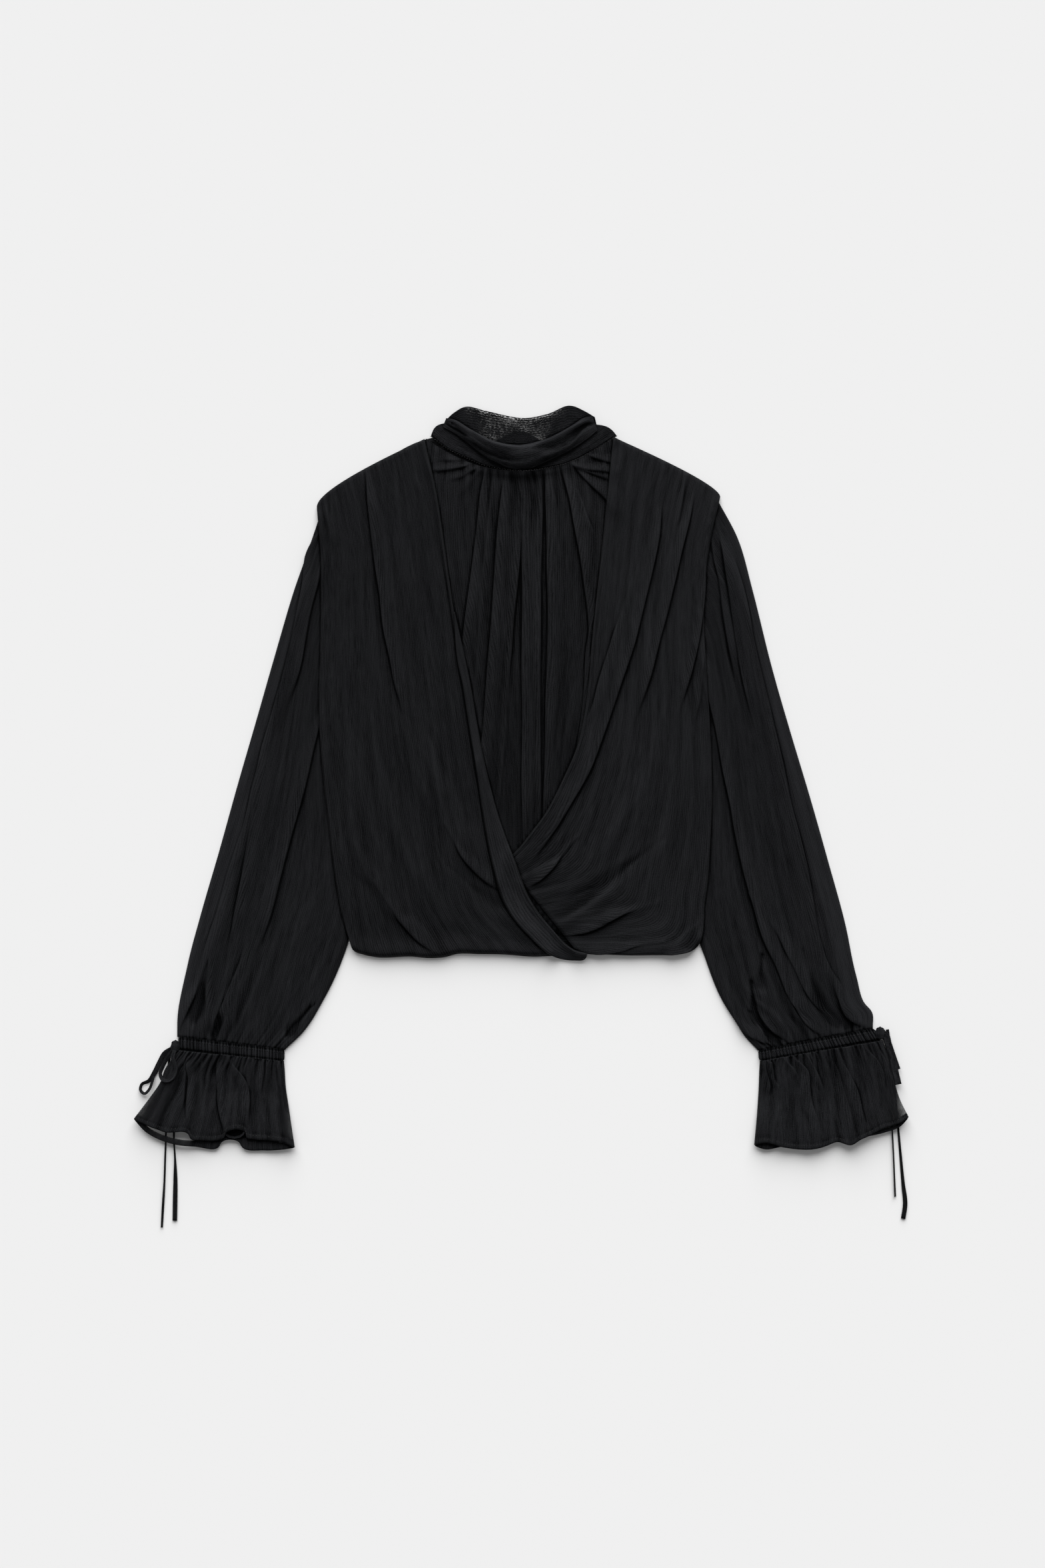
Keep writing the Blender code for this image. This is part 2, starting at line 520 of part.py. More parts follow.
def flat_tube(name, sections, folds, gathers, v, u, under_count, under_bow=0.0, lift=None, waves=None):
    """A flattened tube of cloth: a folded upper wall from edge to edge, and a plain lower wall."""
    plan, length = section_lines(sections, v, u)
    rise = through(columns(sections, "v")[:, 0], columns(sections, "rise"), v)
    full = smooth(np.minimum(u, 1 - u)[None, :] * length[:, None] / 12.0)
    floor = np.zeros_like(full) if lift is None else lift(v, u)
    loose = rise + fold_relief(folds, v, u, length) + gather_relief(gathers, v, u)
    if waves is not None:
        loose = loose + waves(v, u)
    height = floor + TUBE + slack(loose, POCKET) * full
    height[:, 0] = height[:, -1] = 0.5 * TUBE
    height[:, 0] += floor[:, 0]
    height[:, -1] += floor[:, -1]
    upper = np.dstack([plan, height])
    back = np.linspace(1, 0, under_count + 2)[1:-1]
    back = np.concatenate(([u[-2]], back, [u[1]]))
    wider = [s._replace(bow=s.bow + np.sign(s.bow) * under_bow * s.v**2) for s in sections]
    under_plan = section_lines(wider, v, back)[0]
    under_height = np.zeros(under_plan.shape[:2]) if lift is None else lift(v, back)
    lower = np.dstack([under_plan, under_height])
    return grid_object(name, np.concatenate([upper, lower], axis=1), closed=True)


def tie_lift(v, u):
    """The ruffle's outer side lies on the ties, which hold it off the floor."""
    fall = 1 - smooth((u - TIE_SIDE[0]) / (TIE_SIDE[1] - TIE_SIDE[0]))
    return TIE_LIFT * fall[None, :] * np.ones((len(v), 1))


def ruffle_waves(count, height):
    """Ruffle waves that open out from the casing to the hem, uneven from one to the next."""
    def waves(v, u):
        wander = 0.05 * np.sin(2 * pi * 1.7 * u + 0.6)
        ripple = 0.5 - 0.5 * np.cos(2 * pi * count * (u[None, :] + wander[None, :] * v[:, None]))
        uneven = 1 + 0.35 * np.sin(2 * pi * 2.3 * u + 1.1)
        return height * (0.35 + 0.65 * v[:, None]) * ripple * uneven[None, :]
    return waves


# ---------------------------------------------------------------- pieces

def make_back():
    v = np.linspace(0, 1, 23)
    u = np.linspace(0, 1, 7)
    return panel("back", BACK, (), (), v, u, skew=BACK_SKEW)


def make_collar():
    """The stand, its roll and the back half, round the neck opening."""
    t = np.linspace(0, 1, 21)
    knots = columns(COLLAR, "t")[:, 0]
    seam = through(knots, columns(COLLAR, "seam_x", "seam_y"), t)
    low = through(knots, columns(COLLAR, "low_x", "low_y"), t)
    mouth = through(knots, columns(COLLAR, "mouth_x", "mouth_y"), t)
    height = through(knots, columns(COLLAR, "height"), t)[:, 0]

    inner = low + (mouth - low) * 0.42
    across = np.linspace(0, 1, 4)
    plan = seam[:, None] + (inner - seam)[:, None] * across[None, :, None]
    level = STAND_SEAM + (STAND_TOP - STAND_SEAM) * across
    stand = grid_object("collar_stand", np.dstack([plan, np.tile(level, (len(t), 1))]))

    section = np.array(ROLL_SECTION)
    base = STAND_TOP + SEAM + REST
    plan = low[:, None] + (mouth - low)[:, None] * section[None, :, :1]
    level = base + (height - base)[:, None] * section[None, :, 1]
    roll = grid_object("collar_roll", np.dstack([plan, level]))

    t_back = np.linspace(0, 1, 17)
    across = np.linspace(0, 1, 4)
    plan, _ = section_lines(COLLAR_BACK, t_back, across)
    rise = through(columns(COLLAR_BACK, "v")[:, 0], columns(COLLAR_BACK, "rise"), t_back)
    back = grid_object("collar_back", np.dstack([plan, WALL + rise * across[None, :] ** 2]))
    return stand, roll, back


def make_sleeve(side, sections, folds, casing, ruffle):
    """A full sleeve, its drawstring casing and its ruffle."""
    v = np.linspace(0, 1, 20)
    sleeve = flat_tube("sleeve_" + side, sections, folds, SLEEVE_GATHERS, v, steps(16), 3)
    v = np.linspace(0, 1, 3)
    u = steps(2 * CASING_GATHERS[0].count)
    band = flat_tube("cuff_casing_" + side, casing, (), CASING_GATHERS, v, u, 6)
    v = np.linspace(0, 1, 5)
    u = steps(3 * RUFFLE_WAVES)
    waves = ruffle_waves(RUFFLE_WAVES, RUFFLE_HEIGHT)
    frill = flat_tube("cuff_ruffle_" + side, ruffle, (), (), v, u, 7,
                      under_bow=UNDER_BOW, lift=tie_lift, waves=waves)
    return sleeve, band, frill


def tube_object(name, route, radius):
    """A tie or a loop: a round cord along a route of (x, y, z) points in mm."""
    curve = bpy.data.curves.new(name, "CURVE")
    curve.dimensions = "3D"
    curve.bevel_depth = radius * MM
    curve.bevel_resolution = 2
    curve.use_fill_caps = True
    spline = curve.splines.new("POLY")
    spline.points.add(len(route) - 1)
    for point, place in zip(spline.points, route):
        point.co = (*placed(place), 1)
    obj = bpy.data.objects.new(name, curve)
    bpy.context.scene.collection.objects.link(obj)
    return finish(obj, name)


def even_route(points, count):
    """Points spread evenly along a smooth curve through the given ones."""
    points = np.array(points, float)
    knots = np.concatenate(([0], np.cumsum(np.linalg.norm(np.diff(points, axis=0), axis=1))))
    return through(knots, points, np.linspace(0, knots[-1], count))


def make_ties():
    for name, points in TIES.items():
        route = even_route(points, TIE_POINTS)
        tube_object(name, [(x, y, TIE_HEIGHT) for x, y in route], TIE_RADIUS)


def make_bows(below):
    """Each bow's knot and its two loops, which lie on the casing and the ruffle."""
    beneath = Beneath(*below)
    for name, (x, y) in KNOTS.items():
        mesh = bmesh.new()
        bmesh.ops.create_uvsphere(mesh, u_segments=10, v_segments=6, radius=1)
        bmesh.ops.scale(mesh, vec=Vector(KNOT_SIZE) * MM, verts=mesh.verts)
        data = bpy.data.meshes.new(name)
        mesh.to_mesh(data)
        mesh.free()
        data.shade_smooth()
        obj = bpy.data.objects.new(name, data)
        obj.location = placed((x, y, KNOT_HEIGHT))
        bpy.context.scene.collection.objects.link(obj)
        finish(obj, name)
    for name, points in LOOPS.items():
        route = even_route(points, LOOP_POINTS)
        around = [(dx, dy) for dx in (-3, 0, 3) for dy in (-3, 0, 3)]
        top = [max(beneath.height(x + dx, y + dy) for dx, dy in around) for x, y in route]
        level = np.maximum(top, 3.0) + LOOP_RADIUS + LOOP_CLEAR
        for _ in range(2):
            wide = np.pad(level, 1, mode="edge")
            level = np.maximum(level, (wide[:-2] + wide[1:-1] + wide[2:]) / 3)
        tube_object(name, [(x, y, z) for (x, y), z in zip(route, level)], LOOP_RADIUS)


def build():
    back = make_back()
    stand, roll, collar_back = make_collar()
    sleeve_right, casing_right, ruffle_right = make_sleeve(
        "right", SLEEVE_RIGHT, SLEEVE_RIGHT_FOLDS, CASING_RIGHT, RUFFLE_RIGHT)
    sleeve_left, casing_left, ruffle_left = make_sleeve(
        "left", SLEEVE_LEFT, SLEEVE_LEFT_FOLDS, CASING_LEFT, RUFFLE_LEFT)
    inner = panel("inner_front", INNER_FRONT, INNER_FRONT_FOLDS, INNER_FRONT_GATHERS,
                  np.linspace(0, 1, 15), steps(26), below=(back,))
    left = panel("front_left", FRONT_LEFT, FRONT_LEFT_FOLDS, SHOULDER_GATHERS,
                 np.linspace(0, 1, 23), steps(18),
                 below=(back, inner, sleeve_left), skew=SHOULDER_SKEW, firm=sleeve_left)
    right = panel("front_right", FRONT_RIGHT, FRONT_RIGHT_FOLDS, SHOULDER_GATHERS,
                  steps(20), steps(18),
                  below=(back, inner, sleeve_right, left), skew=SHOULDER_SKEW, firm=sleeve_right)
    panel("wrap_band", WRAP_BAND, (), (), np.linspace(0, 1, 21), np.linspace(0, 1, 5),
          below=(back, inner, left, right), soft_edge=4.0)
    make_ties()
    make_bows((casing_right, ruffle_right, casing_left, ruffle_left, sleeve_right, sleeve_left))


for old in list(bpy.data.objects):
    bpy.data.objects.remove(old)
BLOUSE = new_collection("high_neck_blouse")
build()
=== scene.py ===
"""Looks of the high-neck blouse: black crinkled sheer cloth, laid flat and seen from straight above.

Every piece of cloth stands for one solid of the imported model, at the same place, with its folds, gathers,
crinkle, hems and stitching. Tables are in millimetres, in the plan of the source; placed() turns them into
metres. +X runs towards the wearer's left and +Y from the hem to the collar. The camera and the free ties
come first, then the cloth from the floor up: each piece lies on the ones that were laid before it.
"""

from collections import namedtuple
from math import pi, radians

import bmesh
import bpy
import numpy as np
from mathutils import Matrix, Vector


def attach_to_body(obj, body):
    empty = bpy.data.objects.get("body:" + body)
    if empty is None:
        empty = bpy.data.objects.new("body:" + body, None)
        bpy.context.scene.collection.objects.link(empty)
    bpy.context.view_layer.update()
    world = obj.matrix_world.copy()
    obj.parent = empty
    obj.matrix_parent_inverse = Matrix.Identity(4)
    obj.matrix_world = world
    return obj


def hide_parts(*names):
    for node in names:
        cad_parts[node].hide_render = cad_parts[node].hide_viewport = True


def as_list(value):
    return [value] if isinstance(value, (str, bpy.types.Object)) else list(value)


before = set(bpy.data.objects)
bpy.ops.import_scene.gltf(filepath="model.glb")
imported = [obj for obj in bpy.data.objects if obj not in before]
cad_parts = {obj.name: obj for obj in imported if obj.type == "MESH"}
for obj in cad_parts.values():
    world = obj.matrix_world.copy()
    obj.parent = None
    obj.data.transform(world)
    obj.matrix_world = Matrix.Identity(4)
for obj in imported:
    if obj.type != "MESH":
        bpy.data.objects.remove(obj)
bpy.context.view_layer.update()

MM = 0.001
CENTRE = (0.6, -1.8)     # mm, the tables' place of the origin
WALL = 0.4               # mm, the thickness of the cloth
LAYER = 1.2              # mm, how far a piece's upper side is above what it lies on
TUBE = 2.4               # mm, the height of a flattened tube of cloth
DRAPE = 9.5              # mm, the most that rise and folds lift a panel
POCKET = 6.0             # mm, and the upper wall of a tube
LEAN = 3.2               # mm, how far a sharp fold's crest leans over its steep side
ROUND = 2.0              # mm, the width of the round that an edge of cloth turns down in

# The camera looks straight down on this point of the model, from so high, at a picture so tall.
VIEW_CENTRE = (0.00107, -0.00387)
VIEW_HEIGHT = 3.5
VIEW_TALL = 1.568

# ---------------------------------------------------------------- tables of the cloth

# A section of a panel: its two ends (x0, y0) and (x1, y1), how far it bows to the right of the way from
# the first end to the second, and how far the cloth stands off what it lies on.
Section = namedtuple("Section", "v x0 y0 x1 y1 bow rise")
# A fold: its height, its reach before and after the line, and the line, as (x, y) points down the cloth.
# After is to the left of the way along the line. A short reach is the steep side, which the crest leans
# over, and a height below 0 is a trough.
Fold = namedtuple("Fold", "height before after line")
# A row of uneven gathers: how many, how high, and the v where they are full and where the longest end.
Gathers = namedtuple("Gathers", "count height full gone")


def table(kind, rows):
    """A table whose rows all have the same named columns."""
    return tuple(kind(*row) for row in rows)


SHOULDER_SKEW = 0.5      # the shoulder's bow is fullest near the sleeve

BACK = table(Section, (
    (0.00, -166.0, -165.0, -196.0, 263.0, -3.0, 0),
    (0.07, -149.0, -172.0, -168.0, 292.0, 0, 0),
    (0.13, -125.0, -173.5, -148.0, 309.0, 0, 0),
    (0.27, -80.0, -173.5, -95.5, 338.8, 0, 0),
    (0.32, -62.0, -172.0, -76.0, 342.0, 0, 0),
    (0.43, -24.0, -171.5, -25.0, 337.0, 0, 0),
    (0.46, -14.0, -171.5, -15.0, 343.0, 0, 0),
    (0.50, 0.0, -171.5, -2.0, 347.0, 0, 0),
    (0.54, 14.0, -171.5, 11.0, 343.0, 0, 0),
    (0.57, 24.0, -171.5, 22.0, 337.0, 0, 0),
    (0.68, 62.0, -172.0, 75.0, 344.0, 0, 0),
    (0.74, 78.0, -172.5, 92.0, 339.5, 0, 0),
    (0.87, 125.0, -173.5, 148.0, 310.0, 0, 0),
    (0.94, 149.0, -172.5, 172.0, 292.0, -4.0, 0),
    (1.00, 169.0, -167.0, 189.0, 270.0, -14.0, 0),
))
FOLD_DEPTH = 1.3         # how much deeper the folds lie than their tables say
START_SHARE = 0.30       # a fold's share of its full reach where it starts, and where it ends
END_SHARE = 0.45
BACK_SKEW = 2.5          # the back's sides bow fullest near the shoulder, along the sleeves' seams

INNER_FRONT = table(Section, (
    (0.00, -95.0, 339.5, 91.0, 339.5, 33.3, 0.4),
    (0.06, -98.0, 302.0, 97.5, 301.7, 19.0, 0.6),
    (0.15, -96.0, 247.0, 97.0, 251.7, 6.5, 0.8),
    (0.40, -81.0, 138.3, 89.0, 145.0, 0, 0.8),
    (0.70, -54.3, -1.7, 65.7, -1.7, 0, 0.6),
    (1.00, -34.3, -155.0, 45.7, -155.0, 0, 0.2),
))
INNER_FRONT_FOLDS = table(Fold, (
    (3.2, 1.5, 9, ((-34, 311), (-37, 290), (-40, 262), (-43, 238), (-46, 215), (-50, 182), (-53, 158),
    (-57, 126), (-60, 100), (-63, 76))),
    (1.3, 2, 4, ((-26, 310), (-29, 285), (-32, 247), (-38, 192), (-42, 128), (-46, 85), (-49, 50))),
    (3.4, 1.6, 10, ((-14, 309), (-16, 293), (-19, 262), (-22, 226), (-25, 188), (-28, 138), (-32, 92),
    (-37, 32), (-41, -5), (-46, -45))),
    (1.2, 3, 2, ((-10, 158), (-12, 125), (-16, 58), (-20, 10), (-24, -35), (-28, -65))),
    (3.0, 9, 1.5, ((0, 308), (0, 280), (-1, 252), (-6, 196), (-10, 154), (-12, 118), (-14, 90))),
    (3.6, 1.5, 10, ((2, 308), (2, 280), (4, 242), (4, 206), (4, 138), (4, 72), (4, 14), (4, -60),
    (3, -100))),
    (2.8, 8, 1.6, ((20, 292), (19, 262), (18, 205), (17, 138), (17, 72), (17, 14), (18, -44), (17, -80))),
    (3.6, 1.6, 11, ((26, 309), (27, 285), (28, 255), (29, 222), (30, 183), (29, 125), (28, 75), (27, 36),
    (25, -30), (22, -75))),
    (3.4, 1.6, 10, ((40, 315), (45, 300), (50, 284), (56, 255), (62, 222), (66, 192), (70, 162), (71, 149),
    (68, 125), (66, 92), (62, 54), (56, 15), (48, -25))),
    (1.2, 3, 1.6, ((59, 280), (67, 256), (74, 241))),
    (2.8, 2, 8, ((51, 317), (60, 306), (72, 294), (85, 282), (96, 268), (108, 252))),
    (2.2, 1.8, 5, ((62, 326), (76, 321), (92, 317), (116, 313))),
    (2.4, 1.8, 5, ((46, 319), (60, 313), (76, 310), (92, 308), (116, 306))),
    (2.0, 1.8, 5, ((50, 315), (64, 309), (78, 304), (94, 299), (116, 293))),
    (1.2, 4, 2.2, ((-47, 322), (-58, 320), (-70, 319), (-86, 319))),
    (1.9, 4, 2.0, ((-42, 318), (-54, 314), (-68, 311), (-84, 309), (-98, 308))),
    (1.4, 5, 2.2, ((-38, 315), (-50, 308), (-62, 302), (-76, 297))),
    (0.9, 6, 3.0, ((-36, 312), (-46, 302), (-56, 291), (-66, 279))),
    (1.2, 3, 1.6, ((28, 311), (30, 296), (33, 278), (35, 262))),
    (-1.6, 7, 7, ((-64, 200), (-66, 170), (-62, 135), (-57, 105))),
    (-1.4, 6, 6, ((76, 175), (73, 140), (68, 95), (60, 55), (46, 10), (30, -30))),
))
NECK_GATHERS = (Gathers(26, 1.4, 0.0, 0.16), Gathers(11, 1.2, 0.0, 0.45))

FRONT_RIGHT = table(Section, (
    (0.00, -203.0, 268.3, -96.3, 339.0, -10.0, 0.8),
    (0.15, -199.7, 211.7, -83.7, 281.7, 0, 1.0),
    (0.30, -200.3, 145.0, -72.3, 203.7, 0, 1.0),
    (0.45, -201.7, 71.7, -61.0, 128.3, 0, 1.0),
    (0.60, -198.3, 11.7, -47.7, 45.0, 0, 1.2),
    (0.72, -192.3, -45.0, -36.3, -21.7, 0, 1.6),
    (0.84, -185.0, -101.7, -25.0, -85.0, 0, 2.2),
    (0.92, -179.0, -135.0, -12.3, -128.3, 0, 2.6),
    (1.00, -169.0, -169.0, 28.3, -175.7, 3.0, 2.4),
))
FRONT_RIGHT_FOLDS = table(Fold, (
    (3.8, 1.6, 15, ((-154, 308), (-150, 278), (-147, 245), (-143, 212), (-138, 183), (-134, 149),
    (-128, 118), (-124, 95), (-118, 72), (-113, 45))),
    (1.6, 8, 14, ((-121, 72), (-113, 38), (-102, -2), (-88, -42))),
    (1.6, 3, 4, ((-190, 278), (-188, 252), (-186, 225))),
    (1.3, 5, 7, ((-128, 312), (-121, 258), (-114, 205), (-106, 138))),
    (1.0, 5, 5, ((-108, 318), (-99, 272), (-92, 212), (-84, 145))),
    (1.4, 10, 10, ((-181, 205), (-180, 138), (-177, 58), (-169, -22), (-158, -82))),
    (1.6, 8, 14, ((-96, 30), (-84, -10), (-72, -45), (-62, -72), (-48, -92), (-33, -105))),
    (3.2, 2.0, 8, ((-66, -62), (-58, -76), (-47, -89), (-34, -101), (-19, -111), (-14, -114))),
    (-1.6, 8, 8, ((-54, -103), (-38, -117), (-21, -127), (-9, -132))),
    (3.0, 1.8, 12, ((-128, -130), (-121, -140), (-113, -148), (-104, -158), (-91, -168),
    (-76, -175))),
    (1.4, 7, 12, ((-168, -60), (-154, -92), (-138, -116), (-120, -138), (-100, -156))),
    (-0.9, 9, 9, ((-168, -95), (-151, -108), (-136, -119), (-121, -132))),
    (1.4, 9, 9, ((-94, 45), (-78, -8), (-61, -48), (-41, -82), (-22, -102))),
    (1.2, 8, 8, ((-148, 45), (-138, -8), (-121, -62), (-94, -108), (-61, -145), (-28, -165))),
    (1.0, 7, 7, ((-174, -8), (-161, -75), (-134, -122), (-94, -155))),
))
SHOULDER_GATHERS = (Gathers(16, 1.3, 0.0, 0.12), Gathers(7, 1.2, 0.0, 0.35))

FRONT_LEFT = table(Section, (
    (0.00, 199.0, 279.7, 92.3, 341.0, 6.7, 0.8),
    (0.12, 189.0, 235.0, 87.7, 295.0, 0, 1.0),
    (0.25, 183.0, 178.3, 79.7, 218.3, 0, 1.0),
    (0.38, 185.0, 111.7, 71.7, 145.0, 0, 1.0),
    (0.50, 189.7, 38.3, 65.7, 78.3, 0, 1.2),
    (0.60, 191.0, -15.0, 56.3, 33.0, 0, 1.4),
    (0.70, 189.0, -68.3, 42.3, -0.3, 0, 1.8),
    (0.80, 184.3, -121.7, 24.3, -35.0, 0, 2.2),
    (0.88, 172.3, -171.7, 10.3, -53.7, 0, 2.4),
    (0.94, 122.3, -177.0, -1.0, -68.3, 0, 2.2),
    (1.00, 57.7, -175.0, -16.3, -83.7, 0, 0.6),
))
FRONT_LEFT_FOLDS = table(Fold, (
    (4.0, 15, 1.6, ((140, 274), (136, 247), (128, 204), (120, 171), (111, 137), (100, 103),
    (90, 72), (78, 39), (65, 7), (48, -24), (29, -55), (12, -80), (2, -93))),
    (3.2, 1.6, 12, ((102, 168), (93, 138), (82, 103), (74, 74), (64, 52))),
    (3.6, 13, 1.6, ((173, 287), (166, 258), (158, 229), (151, 197), (144, 166), (135, 134),
    (126, 100), (118, 73), (109, 45))),
    (1.4, 4, 1.6, ((163, 301), (161, 285), (157, 262), (151, 240))),
    (3.2, 10, 1.6, ((184, 216), (180, 168), (176, 142), (168, 108), (160, 77), (154, 52))),
    (1.6, 5, 2, ((183, 128), (180, 105), (177, 79), (172, 52))),
    (3.2, 8, 1.6, ((40, -76), (28, -90), (16, -101), (6, -110))),
    (-3.0, 9, 7, ((122, -75), (110, -84), (92, -98), (73, -112), (58, -124), (43, -133),
    (24, -144))),
    (1.8, 3.5, 9, ((99, -105), (79, -120), (59, -134), (39, -145), (27, -150))),
    (3.8, 10, 1.8, ((116, -130), (102, -134), (88, -140), (78, -146), (66, -151), (52, -155),
    (39, -157))),
    (3.0, 9, 1.8, ((123, -165), (110, -167), (102, -170), (92, -172), (80, -174), (66, -174),
    (54, -173))),
    (2.2, 6, 1.8, ((171, -171), (156, -174), (141, -176))),
    (1.2, 10, 10, ((172, 72), (166, 18), (152, -35), (129, -82), (99, -115))),
    (1.2, 9, 9, ((146, 85), (136, 38), (116, -15), (89, -58), (59, -95), (36, -122))),
    (1.6, 4, 4, ((176, -145), (166, -154), (158, -163), (152, -172))),
))
WRAP_BAND = table(Section, (
    (0.00, -67.0, 166.0, -66.0, 166.2, 0, 0.2),
    (0.10, -64.3, 125.0, -57.2, 127.0, 0, 1.5),
    (0.22, -57.8, 91.0, -50.0, 92.0, 0, 1.8),
    (0.36, -51.3, 48.3, -43.0, 51.5, 0, 2.0),
    (0.48, -43.7, 3.7, -34.0, 6.5, 0, 2.2),
    (0.60, -37.0, -42.3, -22.0, -38.0, 0, 2.4),
    (0.72, -27.0, -91.7, -6.0, -82.0, 0, 2.6),
    (0.82, -15.0, -128.3, 10.0, -122.0, 0, 2.6),
    (0.90, 5.0, -154.5, 30.0, -149.0, 0, 2.6),
    (0.95, 29.5, -176.5, 46.0, -166.0, 0.5, 2.6),
    (0.98, 46.0, -181.8, 56.0, -172.0, 1.5, 2.4),
    (1.00, 59.5, -182.3, 66.0, -174.4, 2.5, 1.0),
))
# The hem's line from side to side, and the lower edge of the front that crosses over, which follows it.
HEM_LINE = ((-174, -168.0), (-167, -172.3), (-157, -176.3), (-148, -178.3), (-108, -178.3), (-91, -179.7),
            (-74, -178.3), (-66, -176.0), (-41, -175.7), (-14, -176.3), (12, -178.3), (34, -177.5),
            (70, -176.5), (92, -177.7), (106, -178.3), (126, -177.0), (147, -178.0), (159, -179.0),
            (167, -178.0), (173, -170.0), (176, -165.0))
FRONT_HEM = ((-170, -166.0), *HEM_LINE[1:12])
HEM_TURN = 4.0           # mm, the width of the round that it turns down in
HEM_FULL = (7.5, 13.0)   # mm, how much the cloth puffs up above the hem, and over what width
EDGE_FULL = (1.8, 4.0)   # mm, and how much its own facing lifts a front's crossing edge
GROOVE = (0.9, 3.6, 0.9)      # mm, the depth, place and width of the groove where that facing is sewn

SLEEVE_RIGHT = table(Section, (
    (0.00, -200.0, 265.5, -187.5, 58.3, 0, 0.2),
    (0.10, -213.7, 225.0, -186.5, 38.3, 0, 0.8),
    (0.22, -227.7, 185.0, -185.5, 11.7, 0, 1.2),
    (0.36, -246.3, 121.7, -183.7, -21.7, 0, 1.4),
    (0.50, -265.0, 56.3, -179.7, -58.3, 0, 1.4),
    (0.62, -283.7, -8.3, -174.3, -98.3, 0, 1.4),
    (0.74, -302.3, -75.0, -169.7, -138.3, 0, 1.4),
    (0.84, -320.3, -137.0, -175.7, -173.7, 0, 1.6),
    (0.92, -333.7, -188.3, -196.3, -219.7, 0, 1.6),
    (0.97, -343.0, -235.0, -217.7, -253.7, 0, 1.2),
    (1.00, -343.7, -258.3, -236.5, -271.9, 0, 0.6),
))
SLEEVE_RIGHT_FOLDS = table(Fold, (
    (3.2, 2.0, 8, ((-201, 246), (-210, 230), (-216, 192), (-221, 168), (-227, 136), (-236, 99),
    (-244, 72), (-253, 42), (-258, 22))),
    (3.0, 8, 1.6, ((-198, 218), (-208, 184), (-213, 164), (-218, 138), (-224, 107), (-230, 86),
    (-237, 66))),
    (2.8, 1.6, 10, ((-248, 62), (-253, 44), (-258, 23), (-263, -7), (-267, -40), (-273, -76),
    (-278, -107), (-284, -136), (-290, -164), (-299, -192))),
    (2.4, 1.8, 9, ((-262, 12), (-275, -47), (-288, -86), (-302, -136), (-317, -178), (-329, -212))),
    (3.4, 11, 1.6, ((-198, 72), (-206, 44), (-217, -3), (-228, -42), (-240, -88), (-251, -130),
    (-261, -162), (-273, -188))),
    (3.0, 1.8, 8, ((-273, -163), (-279, -185), (-286, -203), (-294, -222), (-303, -242))),
    (-4.4, 7, 7, ((-317, -200), (-321, -220), (-326, -236), (-329, -252))),
    (-3.8, 5, 5, ((-298, -232), (-302, -246), (-308, -258), (-312, -266))),
    (-3.4, 5, 6, ((-220, -240), (-228, -250), (-238, -260))),
    (3.0, 6, 1.6, ((-322, -200), (-328, -215), (-339, -240), (-343, -256))),
    (3.4, 1.6, 5, ((-311, -195), (-312, -213), (-313, -235), (-319, -250), (-330, -258))),
    (3.2, 1.6, 6, ((-272, -190), (-286, -215), (-299, -235), (-309, -256), (-311, -264))),
    (2.6, 1.6, 5, ((-268, -190), (-279, -210), (-293, -242), (-302, -259), (-304, -266))),
    (1.8, 3, 2, ((-278, -205), (-283, -222), (-287, -242), (-288, -262))),
    (1.6, 12, 12, ((-202, -95), (-208, -128), (-220, -168), (-234, -208), (-251, -248))),
    (1.4, 9, 9, ((-188, -155), (-196, -182), (-211, -208), (-228, -235), (-241, -258))),
))
SLEEVE_GATHERS = (Gathers(12, 1.0, 0.0, 0.10), Gathers(34, 1.3, 1.0, 0.92), Gathers(11, 1.6, 1.0, 0.76))

SLEEVE_LEFT = table(Section, (
    (0.00, 197.5, 277.0, 176.5, 71.7, 12.0, 0.2),
    (0.10, 217.0, 239.7, 176.5, 45.0, 6.0, 0.8),
    (0.22, 231.7, 188.3, 177.0, 11.7, 3.0, 1.2),
    (0.36, 250.3, 113.7, 178.0, -28.3, 0, 1.4),
    (0.50, 269.0, 48.3, 177.8, -68.3, 0, 1.4),
    (0.62, 289.0, -18.3, 176.3, -108.3, 0, 1.4),
    (0.74, 307.0, -81.7, 173.7, -145.0, 0, 1.4),
    (0.84, 324.3, -145.0, 183.0, -176.3, 0, 1.6),
    (0.92, 335.7, -198.3, 202.3, -223.7, 0, 1.6),
    (0.955, 343.6, -224.5, 216.3, -246.0, 0, 1.4),
    (0.97, 350.6, -232.5, 222.3, -255.7, 0, 1.2),
    (1.00, 352.0, -249.8, 237.3, -272.2, 0, 0.6),
))
